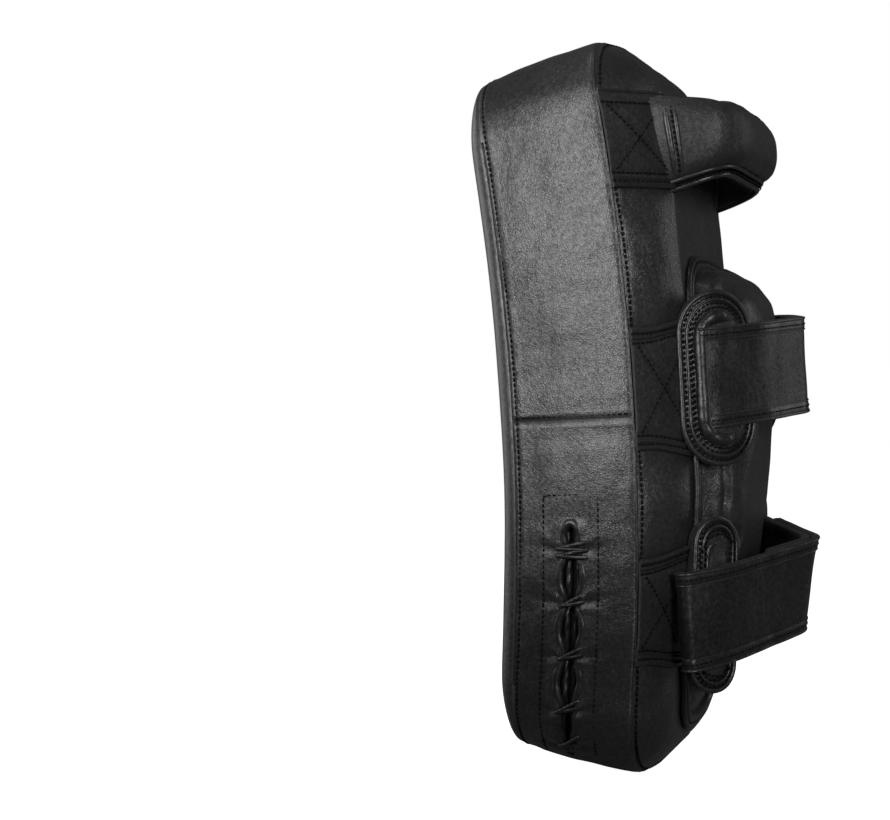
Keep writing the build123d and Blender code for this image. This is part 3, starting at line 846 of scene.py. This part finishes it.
def cushion_detail(points, normals):
    """The cushion's side seam, the folds at its nose and tail, and slow waves."""
    base = back_y(points[:, 0], points[:, 2], False)
    over = points[:, 1] - base
    side_seam = over - np.minimum(14.0, 0.62 * (CUSHION_CROWN(points[:, 2]) - base))
    groove = -1.5 * bump_at(side_seam, 1.3) + 0.6 * bump_at(side_seam - 3.0, 2.0)
    groove *= np.abs(normals[:, 1]) < 0.8
    nose = ease((points[:, 2] - 30) / 30) * (over > 3)
    tail = ease((-95 - points[:, 2]) / 40)
    folds = 0.55 * np.clip(waves(points * (0.35, 0.8, 1.1), 13.0, 31), -0.4, 1.6) * nose
    folds += 0.8 * np.clip(waves(points * (0.5, 0.6, 1.3), 13.0, 34), -0.5, 1.5) * tail
    slow = 0.5 * waves(points, 55.0, 32) + 0.25 * waves(points * (1, 1, 0.7), 21.0, 33)
    return (groove + folds + slow) * ease((over - 0.5) / 4.0)


def make_cushion():
    """The long forearm cushion: a lofted wedge-nosed bolster, swelled, seamed and creased."""
    z = np.linspace(CUSHION_LOW, CUSHION_HIGH, 90)[:, None]
    angles = np.linspace(0, math.pi, 49)
    foot = back_y(0.0, z) - 3.0
    crown = CUSHION_CROWN(z) - 2.0
    x = np.maximum(CUSHION_HALF_WIDTH(z) - 2.5, 12.0) * signed_power(np.cos(angles), 0.55)
    rings = xyz(x, foot + np.maximum(crown - foot, 4.0) * np.abs(np.sin(angles)) ** 0.62, z)
    t = np.linspace(0, 1, len(angles) - 2)
    bottom = xyz(rings[:, -1:, 0] * (1 - t) + rings[:, :1, 0] * t, rings[:, :1, 1] - 4.0, z)
    piece = make_object("cushion_leather", *tube_mesh(np.concatenate([rings, bottom], axis=1)))
    swell(piece, 5.0, lambda p: ease((p[:, 1] - back_y(p[:, 0], p[:, 2]) - 1.0) / 8.0), 4.0, 4.0)
    displace(piece, cushion_detail)
    dress(piece, "pad", BACK_LEATHER, "cushion_cover", "cushion_foam")
    rolls = [tube(cushion_foot(gap, 1.6), radius, (0, 1, 0), closed=True) for gap, radius in CUSHION_ROLLS]
    dress(join_parts("cushion_piping_rolls", rolls), "pad", TRIM_LEATHER, "cushion_piping")
    parts = stitches(cushion_foot(CUSHION_STITCH_GAP, 2.6), (0.0, 1.0, 0.0))
    dress(join_parts("cushion_foot_stitches", parts), "pad", THREAD)


def cushion_foot(extra, lift):
    """A closed line round the cushion's foot on the back's skin, this far outside it."""
    right = resample(CUSHION_OUTLINE, 1.0)
    loop = np.concatenate([right, right[::-1][1:-1] * (-1, 1)])
    loop = soften(np.pad(loop, ((12, 12), (0, 0)), mode="wrap"), 12, 4.5)
    along = unit(np.roll(loop, -1, axis=0) - np.roll(loop, 1, axis=0))
    loop = loop + np.stack([along[:, 1], -along[:, 0]], axis=1) * extra
    loop = resample(np.concatenate([loop, loop[:1]]), 2.0)[:-1]
    return back_point(loop[:, 0], loop[:, 1], lift)


# ---- paths in plan ----
def rounded_path(points, bend, step=1.0):
    """A polyline with its corners rounded over about this length."""
    dense = resample(points, 0.4)
    reach = int(1.5 * bend / 0.4)
    before = dense[0] + (dense[0] - dense[1]) * np.arange(reach, 0, -1)[:, None]
    after = dense[-1] + (dense[-1] - dense[-2]) * np.arange(1, reach + 1)[:, None]
    return resample(soften(np.concatenate([before, dense, after]), reach, bend * 0.5 / 0.4), step)


def path_normals(path):
    """Unit normals of a plan path, pointing away from the pad's middle."""
    tangent = unit(np.gradient(path, axis=0))
    normal = np.stack([-tangent[:, 1], tangent[:, 0]], axis=1)
    middle = len(path) // 2
    return normal if np.dot(normal[middle], path[middle] - (0.0, 5.0)) >= 0 else -normal


def on_path(path, normal, lift, z):
    """Points this far out from a plan path, at these heights."""
    xy = path + normal * np.broadcast_to(lift, (len(path),))[:, None]
    return xyz(xy[:, 0], xy[:, 1], z)


def upright(normal):
    """Plan normals as normals in space."""
    return xyz(normal[..., 0], normal[..., 1], 0.0)


# ---- hand grip ----
HANDLE_LOW = 118.0
HANDLE_HIGH = 168.0
HANDLE_PATH = [(69, 6), (66, 49.0), (-66, 49.0), (-69, 6)]
HANDLE_BEND = 34.0
# distance out from the grip's path, drop below its lower edge and radius of the rolls under it
GRIP_ROLLS = ((1.2, 0.6, 1.2), (-1.8, -3.4, 1.5), (-5.4, -3.0, 1.3))
# distance out, distance ahead and radius of the rolls over each root, which is where the path has this depth
ROOT_ROLLS = ((6.4, -1.2, 1.9), (7.2, 3.0, 1.2))
ROOT_DEPTH = 23.0


def handle_heights(share):
    """Lower edge, upper edge and swell of the grip along it: narrower and fuller at its crest."""
    crest = ease(np.minimum(share, 1 - share) / 0.26)
    return HANDLE_LOW - 1.0 + 10.0 * crest, HANDLE_HIGH - 2.0 - 3.0 * crest, crest


def handle_detail(points, normals):
    """Slow waves of the grip and the creases inside its bends."""
    slow = 0.3 * waves(points, 34.0, 41) + 0.15 * waves(points * (1, 1, 0.5), 13.0, 42)
    bent = ease((points[:, 1] - 30) / 14) * (normals[:, 1] < 0.2)
    return slow + 0.4 * np.clip(waves(points * (1.0, 1.0, 0.25), 9.0, 43), -0.3, 1.4) * bent


def make_handle(path, normal):
    """The padded hand grip: an arch of soft leather over foam, fuller and narrower at its crest."""
    low, high, crest = (part[:, None] for part in handle_heights(np.linspace(0, 1, len(path))))
    angles = np.linspace(0, 2 * math.pi, 48, endpoint=False)
    c, s = np.cos(angles), np.sin(angles)
    z = (low + high) / 2 + (high - low) / 2 * signed_power(c, 0.9)
    out = np.where(s > 0, 4.0 + 8.5 * crest, 4.2) * signed_power(s, 0.9)
    rings = xyz(path[:, :1] + normal[:, :1] * out, path[:, 1:] + normal[:, 1:] * out, z)
    piece = make_object("handle_leather", *tube_mesh(rings))
    swell(piece, 2.0, lambda p: ease((p[:, 1] - 14) / 10.0), 3.0, 3.0)
    displace(piece, handle_detail)
    return piece


def flare_roots(piece):
    """Spreads the grip's roots outwards towards their upper edge."""
    points = read_vertices(piece.data) / MM
    share = ease((points[:, 2] - 120) / 45) * ease((42 - points[:, 1]) / 22)
    points[:, 0] += np.sign(points[:, 0]) * 4.5 * share
    points[:, 1] -= 3.0 * share
    write_vertices(piece.data, points * MM)


def make_handle_trim(path, normal):
    """Piping under the grip, its lining, the rolled seams at its roots and their stitches."""
    low, high, crest = handle_heights(np.linspace(0, 1, len(path)))
    rolls = []
    for lift, drop, radius in GRIP_ROLLS:
        rolls.append(tube(on_path(path, normal, lift + 1.6 * crest, low + drop), radius))
    rolls.append(tube(on_path(path, normal, -3.4, high - 0.8), 1.5))
    parts = stitches(on_path(path, normal, 0.4 + 1.8 * crest, low - 2.2), upright(normal), 0.5)
    xy = path - 3.2 * normal
    z = (low - 4.6)[:, None] + (high - low + 3.0)[:, None] * np.linspace(0, 1, 12)
    lining = thick_sheet("handle_lining_leather", xyz(xy[:, :1], xy[:, 1:], z), 2.4)
    root = int(np.argmax(path[:, 1] > ROOT_DEPTH))
    dome = np.sin(np.linspace(0.15, math.pi - 0.15, 30))[:, None] ** 0.5
    for index in (root, len(path) - 1 - root):
        z = np.linspace(low[index] + 4, high[index] - 5, len(dome))
        facing = upright(normal[index])
        for lift, ahead, radius in ROOT_ROLLS:
            line = xyz(path[index, 0], path[index, 1] + ahead, z) + facing * lift * dome
            rolls.append(tube(line, radius, facing))
        parts += stitches(line - (0, 1.6, 0) + facing * 1.3, facing, 0.55)
    return join_parts("handle_binding_rolls", rolls), join_parts("handle_stitches", parts), lining


def build_handle():
    """The hand grip on its sewn feet: cover, rolls, lining and stitches, with the roots flared outwards."""
    path = rounded_path(HANDLE_PATH, HANDLE_BEND, 2.0)
    normal = path_normals(path)
    normal = normal * np.sign(np.sum(normal * (path - (0, 20.0)), axis=1))[:, None]
    cover = make_handle(path, normal)
    rolls, thread, lining = make_handle_trim(path, normal)
    for piece, material, *nodes in ((cover, GRIP_LEATHER, "handle_cover", "handle_foam"),
                                    (rolls, TRIM_LEATHER, "handle_webbing"),
                                    (lining, LINING, "handle_lining"), (thread, THREAD)):
        flare_roots(piece)
        coat(piece, material, *nodes)
        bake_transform(piece)


# ---- straps ----
BINDING = 7.4
HOOK_START = -14.0
TURN_RADIUS = 3.2
TURN_ANGLE = 2.0
STRAP_BEADS = ((BINDING / 2 - 0.9, 0.9), (0.4 - BINDING / 2, 0.5))    # offset and radius of its beads
PATCH_LENGTH = 93.0
PATCH_ROLLS = ((0.6, 1.5, 1.8), (4.6, 0.8, 3.0))      # inset, radius and height of the patch's piping
PATCH_STITCHES = ((2.7, 3.2), (6.3, 3.2))             # inset and height of its stitch rows
LIP_STITCHES = (4.9, 4.5)                             # distance outside the lip and height of its stitches
# The outer, inner and patch paths are plans. tilt and turn are in degrees. root is where the hinge is.
STRAPS = {
    "upper": dict(height=14.0, tilt=4.0, root=(71.0, 31.3), lean=0.0, bend=9.0, turned=False,
                  outer=[(71, 31.3), (64.2, 40), (38, 59), (0, 76.2), (-40, 64.5), (-56, 53)],
                  inner=[(28, 59), (0, 71.8), (-38, 60), (-64.2, 41), (-71, 31.3)],
                  patch=[(74.8, 20.2), (60.8, 38.4), (41.4, 52.2)], patch_height=14.0, turn=0.0,
                  lip=11.4, lip_lift=3.1, lip_radius=3.7, seed=50),
    "lower": dict(height=-114.0, tilt=7.0, root=(79.5, 19.6), lean=0.2, bend=13.0, turned=True,
                  outer=[(81.9, 21.7), (70, 35.5), (0, 74.6), (-56, 45)],
                  inner=[(28, 53), (0, 69.8), (-71, 33), (-79.5, 19.6)],
                  patch=[(75.5, 20.5), (65.5, 31), (53, 39)], patch_height=-107.0, turn=-6.0,
                  lip=6.5, lip_lift=0.6, lip_radius=2.2, seed=70),
}


def tilted(points, strap):
    """Points of a strap's own frame set in the pad: turned by its tilt about its root."""
    angle = math.radians(strap["tilt"])
    root_x, root_y = strap["root"]
    x, y, z = points[..., 0] - root_x, points[..., 1], points[..., 2]
    return xyz(root_x + x * math.cos(angle) + z * math.sin(angle),
               y + strap["lean"] * z * np.clip((y - root_y) / 55.0, 0, 1),
               strap["height"] - x * math.sin(angle) + z * math.cos(angle))


def strap_ripple(path, z, seed):
    """Slow waves of a strap's layers, in mm."""
    spots = xyz(np.linspace(0, len(path), len(path))[:, None], 0.0, z)
    return 0.35 * waves(spots, 34.0, seed) + 0.12 * waves(spots * (1, 1, 0.35), 13.0, seed + 1)


def strap_layer(name, path, strap, half, lift, thickness, rows=slice(None)):
    """One flat layer of a strap of this half width, set in the pad, along all or part of its path."""
    z = clustered(2 * half, 2.2, (0, 0.4, 1.0, 1.8)) - half
    out = lift + strap_ripple(path, z, strap["seed"])
    normal = path_normals(path)
    grid = xyz(path[:, :1] + normal[:, :1] * out, path[:, 1:] + normal[:, 1:] * out, z)
    return thick_sheet(name, tilted(grid[rows], strap), thickness)


def strap_edge_rolls(path, strap, lift):
    """Bindings folded over a strap's edges and its far end, with the stitches that hold them."""
    half = STRAP_WIDTH / 2
    normal = path_normals(path)
    tall = upright(normal)
    angle = math.radians(strap["tilt"])
    ups = xyz(normal[:, 0] * math.cos(angle), normal[:, 1], -normal[:, 0] * math.sin(angle))
    corners = 2 * math.pi * np.arange(20) / 20
    rolls, parts = [], []

    def add_roll(line, radius, sides, up):
        points, faces = tube(line, radius, up, sides)
        rolls.append((tilted(points, strap), faces))

    for way in (-1, 1):
        z = way * (half - BINDING / 2)
        line = on_path(path, normal, lift + strap_ripple(path, [z], strap["seed"])[:, 0], z)
        rings = [line + tall * 2.2 * signed_power(math.sin(a), 0.5)
                 + (0, 0, BINDING / 2 * signed_power(math.cos(a), 0.5)) for a in corners]
        rolls.append(tube_mesh(tilted(np.stack(rings, axis=1), strap)))
        for offset, bead in STRAP_BEADS:
            add_roll(line + tall * 1.9 + (0, 0, way * offset), bead, 8, (0, 0, 1))
        parts += stitches(tilted(line + tall * 2.25 - (0, 0, way * 0.4), strap), ups, 0.5)
    add_roll(xyz(path[-1, 0], path[-1, 1], np.linspace(1 - half, half - 1, 30)), 2.3, 12, tall[-1])
    return rolls, parts


def turned_root(path):
    """The path with a round turn added before its start, as the strap comes round its slot."""
    normal = path_normals(path)[0]
    tangent = unit(path[1] - path[0])
    centre = path[0] - normal * TURN_RADIUS
    side = 1.0 if normal[0] * tangent[1] - normal[1] * tangent[0] > 0 else -1.0
    back = np.arange(1.0, TURN_RADIUS * TURN_ANGLE)[::-1] / TURN_RADIUS
    angles = math.atan2(normal[1], normal[0]) - side * back
    return np.concatenate([centre + TURN_RADIUS * np.stack([np.cos(angles), np.sin(angles)], axis=1), path])


def make_strap(which):
    """Both halves of one strap, with faces, webbing backs, bindings, hook and loop tape and stitches."""
    strap = STRAPS[which]
    half = STRAP_WIDTH / 2
    face_half = half - BINDING + 1
    outer = rounded_path(strap["outer"], strap["bend"])
    outer = turned_root(outer) if strap["turned"] else outer
    inner = rounded_path(strap["inner"], strap["bend"])
    hook_rows = slice(int(np.argmax(outer[:, 0] < HOOK_START)), len(outer) - 3)
    hook = strap_layer(which + "_strap_hook_tape", outer, strap, half - BINDING, -1.4, 1.2, hook_rows)
    dress(hook, which + "_strap_outer", HOOK_TAPE, which + "_hook_patch")
    for path, part, side, face, cover, lift, thickness, material, edge in (
            (outer, "strap", "outer", "nubuck", "face", 1.9, 1.7, NUBUCK, 0.2),
            (inner, "tab", "inner", "loop_tape", "loop_face", 1.5, 1.3, HOOK_TAPE, 0.1)):
        name = "%s_%s_" % (which, part)
        node = "%s_%s_strap_" % (which, side)
        body = "%s_strap_%s" % (which, side)
        dress(strap_layer(name + face, path, strap, face_half, lift, thickness), body, material, node + cover)
        webbing = strap_layer(name + "webbing_back", path, strap, half - 1.5, 0.1, 1.5)
        dress(webbing, body, WEBBING, node + "webbing")
        rolls, parts = strap_edge_rolls(path, strap, edge)
        dress(join_parts(name + "binding_rolls", rolls), body, TRIM_LEATHER, node + "binding")
        dress(join_parts(name + "stitches", parts), body, THREAD)


# ---- anchor patches ----
def stadium(length, width, inset):
    """A closed upright stadium in (across, up), inset from its edge; anticlockwise from its right side."""
    radius = width / 2 - inset
    straight = length / 2 - width / 2
    pieces = [(radius, z) for z in np.linspace(-straight, straight, 30)]
    pieces += [(radius * math.cos(a), straight + radius * math.sin(a)) for a in np.linspace(0, math.pi, 40)]
    pieces += [(-x, -z) for x, z in pieces] + pieces[:1]
    return resample(pieces, 2.0)


class Drape:
    """A flat layout laid over a plan path: across runs along the path, up stays up."""

    def __init__(self, strap, side):
        path = rounded_path(strap["patch"], 12.0, 0.5)
        far = path[0] + unit(path[0] - path[1]) * 12
        near = path[-1] + unit(path[-1] - path[-2]) * 12
        self.path = resample(np.concatenate([[far], path, [near]]), 0.5)
        self.at = lengths_along(self.path)
        self.width = self.at[-1] - 24
        self.at -= self.at[-1] / 2
        self.normal = path_normals(self.path)
        self.side = side
        rise = 2 * strap["root"][0] * math.sin(math.radians(strap["tilt"]))
        self.height = strap["patch_height"] + (0 if side > 0 else rise - 3.0)
        self.length = PATCH_LENGTH - (0 if side > 0 else 10.0)
        self.turn = math.radians(strap["turn"])

    def points(self, across, up, lift):
        """Points and normals; across is positive towards the seam."""
        a = across * math.cos(self.turn) + up * math.sin(self.turn)
        v = up * math.cos(self.turn) - across * math.sin(self.turn)
        x, y, nx, ny = (np.interp(-a, self.at, column) for column in (*self.path.T, *self.normal.T))
        n = xyz(nx * self.side, ny, 0.0)
        return xyz(x * self.side, y, self.height + v) + n * np.asarray(lift, float)[..., None], n


def lip_line(strap, grow):
    """The open line of a slot's lip, from over the strap round its seam side to under it."""
    radius = strap["lip"] + grow
    centre = STRAP_WIDTH / 2 + 6.0 - strap["lip"]
    arc = [(radius * math.cos(a), centre + radius * math.sin(a)) for a in np.linspace(2.55, 0.0, 30)]
    return resample(arc + [(x, -z) for x, z in arc[::-1]], 1.0)


def make_lip(strap, drape):
    """Points and faces of the padded lip round a slot, thin at its ends and puckered at its bends."""
    lip = lip_line(strap, 0.0)
    at = np.arange(len(lip))
    gap = np.minimum(at, at[::-1])
    ends = ease(gap / 12.0)
    line, normals = drape.points(*lip.T, 0.5 + strap["lip_lift"] * ends)
    pucker = 0.16 * np.sin(at * 0.9) * bump_at(gap - 22.0, 14.0) + 0.15 * np.sin(at * 0.23 + strap["seed"])
    return tube(line, (strap["lip_radius"] + pucker) * (0.3 + 0.7 * ends), normals, 18)


def make_patch(which, side, label):
    """A stadium anchor patch with bound edge, stitch rows and a padded lip round the strap's slot."""
    strap = STRAPS[which]
    drape = Drape(strap, side)
    size = drape.length, drape.width
    name = "%s_anchor_patch_%s" % (which, label)
    shares = np.concatenate([np.linspace(0, 0.75, 16), [0.82, 0.88, 0.92, 0.95, 0.975, 0.99, 1.0]])
    across, up = (column[:-1, None] * shares for column in stadium(*size, 0.0).T)
    near = (1 - shares) * drape.width / 2
    lift = 1.6 + 1.5 * ease(near / 5.0) - 0.7 * bump_at(near - 5.5, 1.3) + 0.8 * ease((near - 6) / 6)
    lift = lift + 0.35 * waves(xyz(across, up, 0.0), 17.0, strap["seed"] + 5) * ease(near / 6)
    top, low = drape.points(across, up, lift)[0], drape.points(across, up, -5.0)[0]
    piece = shell(name + "_leather", top, low, closed=True, rims=[len(shares) - 1])
    dress(piece, "pad", BACK_LEATHER, name)
    rolls = []
    for inset, radius, raised in PATCH_ROLLS:
        line, normals = drape.points(*stadium(*size, inset)[:-1].T, raised)
        rolls.append(tube(line, radius, normals, closed=True))
    dress(join_parts(name + "_piping", rolls), "pad", TRIM_LEATHER)
    lips = make_object("%s_slot_lips_%s" % (which, label), *make_lip(strap, drape))
    dress(lips, "pad", LIP_LEATHER, *([which + "_slot_lips"] if side > 0 else []))
    rows = [(stadium(*size, inset), raised) for inset, raised in PATCH_STITCHES]
    rows.append((lip_line(strap, LIP_STITCHES[0]), LIP_STITCHES[1]))
    parts = [part for line, raised in rows for part in stitches(*drape.points(*line.T, raised))]
    dress(join_parts(name + "_stitches", parts), "pad", THREAD)


# ---- lacing ----
def lace_place(z, depth, lift):
    """Points and outward normals on the lace side's wall at heights and depths."""
    depth = depth + 0 * z
    corner = half_size(depth)[1] - CORNER_RADIUS
    below = np.clip((-z - corner) / CORNER_RADIUS, 0, 0.98)
    angle = -np.arcsin(below)
    core = np.stack([np.ones_like(z), np.where(below > 0, -1.0, z / corner)], axis=-1)
    out = np.stack([np.cos(angle), np.sin(angle)], axis=-1)
    return wall_points(core, out, depth, lift), xyz(out[:, 0], 0.0, out[:, 1])


def make_lace_rim():
    """The rolled edge of the laced slot."""
    z = np.linspace(LACE_BOTTOM + 0.2, LACE_TOP - 0.2, 110)
    gap = lace_gap(z)
    depth = np.concatenate([LACE_DEPTH - gap, LACE_DEPTH + gap[::-1]])
    z, depth = resample(np.stack([np.concatenate([z, z[::-1]]), depth], axis=1), 1.5).T
    points, normals = lace_place(z, depth, 0.6 - 1.5 * at_rows(z, 5.0))
    rim = make_object("lace_slot_rim", *tube(points, 2.3 + 0.15 * np.sin(z * 0.7), normals, 12, True))
    dress(rim, "pad", TRIM_LEATHER, "lace_lips")


def make_lace_tongue():
    """The folded leather that shows behind the slot."""
    z = np.linspace(LACE_BOTTOM - 3, LACE_TOP + 8, 100)
    grid = []
    for d in np.linspace(-12, 12, 61):
        fold = np.abs(np.sin((d + 0.5 * np.sin(z * 0.09)) * math.pi / 5.4)) ** 0.7
        small = 0.35 * np.sin(z * 0.31 + d * 0.5) + 0.2 * np.sin(z * 0.83 - d)
        lift = -4.2 + (3.6 - 1.8 * at_rows(z, 5.0)) * fold * math.exp(-(d / 10.0) ** 4) + small
        grid.append(lace_place(z, LACE_DEPTH + d, lift)[0])
    tongue = thick_sheet("lace_tongue_leather", np.stack(grid), 1.5, (1, 0, 0))
    dress(tongue, "pad", LIP_LEATHER, "lace_tongue")


def make_lace_cord():
    """The cord's crossings over the slot, and the facing's stitches."""
    cords = []
    t = np.linspace(-1, 1, 33)
    for index, row in enumerate(LACE_ROWS):
        strands, thick, reach, slope = CROSSING if index else TOP_CROSSING
        for strand in range(strands):
            cross = 0.9 * (1 if strand % 2 else -1) * np.sin(t * math.pi * 0.5)
            height = row + (strand - (strands - 1) / 2) * thick * 1.5 + slope * t + cross
            lift = 1.6 + 1.5 * np.cos(t * math.pi / 2) - 22.0 * np.clip(np.abs(t) - 0.86, 0, 1)
            points, normals = lace_place(height, LACE_DEPTH + t * reach + 0.5, lift)
            cords.append(tube(points, thick, normals))
    dress(join_parts("lace_cord_waxed", cords), "pad", CORD, "lace_cord")
    line = resample(FACING_CORNERS, 1.0)
    parts = stitches(*lace_place(line[:, 0], LACE_DEPTH + line[:, 1], 1.35))
    dress(join_parts("lace_facing_stitches", parts), "pad", THREAD, "lace_facing")


# ---- studio, with its places in metres ----
CAMERA_AZIMUTH = math.radians(12.0)
CAMERA_RISE = math.radians(0.616)
CAMERA_ROLL = math.radians(3.0)
CAMERA_RANGE = 1.0274
CAMERA_LENS = 71.632                    # mm, on a sensor of the width below
SENSOR = 36.0
AIM_LEFT = math.radians(7.3045)         # the camera aims this far left of the pad's origin
AIM_BELOW = math.radians(0.1618)        # and this far below it


def add_item(name, data, place, turn):
    """A lamp or camera at this place, turned by a quaternion."""
    item = bpy.data.objects.new(name, data)
    bpy.context.scene.collection.objects.link(item)
    item.location = place
    item.rotation_mode = "QUATERNION"
    item.rotation_quaternion = turn
    return item


def make_camera():
    """A camera that looks at the laced side, turned so that the pad stands to the right of the picture."""
    camera = bpy.data.cameras.new("camera")
    camera.sensor_width = SENSOR
    camera.lens = CAMERA_LENS
    camera.clip_start, camera.clip_end = 0.05, 30.0
    level = math.cos(CAMERA_RISE)
    back = Vector((math.cos(CAMERA_AZIMUTH) * level, math.sin(CAMERA_AZIMUTH) * level, math.sin(CAMERA_RISE)))
    right = Vector((-math.sin(CAMERA_AZIMUTH), math.cos(CAMERA_AZIMUTH), 0))
    up = back.cross(right)
    c, s = math.cos(CAMERA_ROLL), math.sin(CAMERA_ROLL)
    aim = Matrix((right * c - up * s, up * c + right * s, back)).transposed()
    swing = Matrix.Rotation(AIM_LEFT, 3, "Y")
    dip = Matrix.Rotation(-AIM_BELOW, 3, "X")
    turn = (aim @ swing @ dip).to_quaternion()
    bpy.context.scene.camera = add_item("camera", camera, back * CAMERA_RANGE, turn)


# place, width and height, and power of each soft light; they all face the pad
LIGHTS = {"key": ((1.6, -0.55, 0.25), (0.5, 0.6), 26.0), "high": ((1.3, -0.4, 1.0), (0.5, 0.8), 9.0),
          "left": ((1.35, -1.0, 0.45), (0.8, 0.8), 4.0), "side": ((1.15, 1.05, 0.35), (0.4, 0.8), 19.0),
          "front": ((0.1, -1.9, 0.5), (1.2, 1.2), 10.0), "rim_left": ((-0.6, -1.5, 0.3), (0.5, 1.6), 5.0),
          "rim_right": ((-0.95, 1.35, 0.3), (0.3, 1.2), 4.0), "top": ((0.1, -0.1, 1.6), (0.6, 0.6), 4.0)}
WORLD_GLOW = 0.035     # the world's strength as a light
WORLD_SEEN = 1.0       # and as the camera sees it
FLOOR_HALF = 40.0
FLAG_EDGE = np.array((0.325, -0.125))
FLAG_TOP = -0.023
FLAG_DROP = 0.4
FLAG_REACH = 0.2


def make_floor():
    """A pale matt floor that glows for the camera only, so that it doesn't light the pad."""
    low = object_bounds()[0].z - 0.001
    corners = [(x * FLOOR_HALF, y * FLOOR_HALF, low) for x, y in ((-1, -1), (1, -1), (1, 1), (-1, 1))]
    floor = make_object("floor", np.array(corners) / MM, [[0, 1, 2, 3]])
    material, nodes, shader = new_material("pale_floor")
    tone = nodes.remap(nodes.noise(nodes.place(), 3.0, 3), 0.0, 1.0, 0.985, 1.0)
    seen = nodes.add("LightPath").outputs["Is Camera Ray"]
    nodes.put(shader, {
        "Base Color": nodes.mix(seen, (0.12, 0.12, 0.12), (0.4, 0.4, 0.4)),
        "Emission Color": nodes.add("CombineColor", {0: tone, 1: tone, 2: tone}).outputs[0],
        "Emission Strength": seen,
        "Roughness": 0.9,
    })
    floor.data.materials.append(material)


def add_flag():
    """A black card that keeps the key light off the pad's lower half. The camera doesn't see it."""
    across = unit(np.array((FLAG_EDGE[1], -FLAG_EDGE[0]))) * FLAG_REACH
    ends = FLAG_EDGE - across, FLAG_EDGE + across
    corners = [(*end, FLAG_TOP) for end in ends] + [(*end, FLAG_TOP - FLAG_DROP) for end in ends[::-1]]
    card = make_object("flag_card", np.array(corners) / MM, [[0, 1, 2, 3]])
    material, nodes, shader = new_material("black_card")
    nodes.put(shader, {"Base Color": (0.0, 0.0, 0.0, 1), "Specular IOR Level": 0.0})
    card.data.materials.append(material)
    card.visible_camera = False


def make_studio():
    """A pale floor and world under soft light."""
    make_floor()
    add_flag()
    for name, (place, size, power) in LIGHTS.items():
        light = bpy.data.lights.new(name, "AREA")
        light.shape = "RECTANGLE"
        light.size, light.size_y = size
        light.energy = power
        add_item(name, light, place, Vector(place).to_track_quat("Z", "Y"))
    world = bpy.data.worlds.new("studio")
    bpy.context.scene.world = world
    world.use_nodes = True
    nodes = Nodes(world.node_tree)
    seen = nodes.add("LightPath").outputs["Is Camera Ray"]
    strength = nodes.remap(seen, 0, 1, WORLD_GLOW, WORLD_SEEN)
    nodes.put(world.node_tree.nodes["Background"], {"Color": (1, 1, 1, 1), "Strength": strength})
    bpy.context.scene.view_settings.view_transform = "Standard"


# ---- assembly ----
def paint_cad_nodes():
    """Materials for the CAD nodes, in case no visible piece stands for one."""
    for name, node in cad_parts.items():
        if node.type == "MESH":
            node.data.materials.clear()
            node.data.materials.append(HOOK_TAPE if "hook" in name else FOAM)


paint_cad_nodes()
make_face()
make_gusset()
make_edge_seams()
make_back_panels()
make_cushion()
make_lace_rim()
make_lace_tongue()
make_lace_cord()
build_handle()
for side, label in ((1, "lace_side"), (-1, "plain_side")):
    for band in BANDS:
        make_band(band, side, label)
    for which in STRAPS:
        make_patch(which, side, label)
for which in STRAPS:
    make_strap(which)
make_studio()
make_camera()
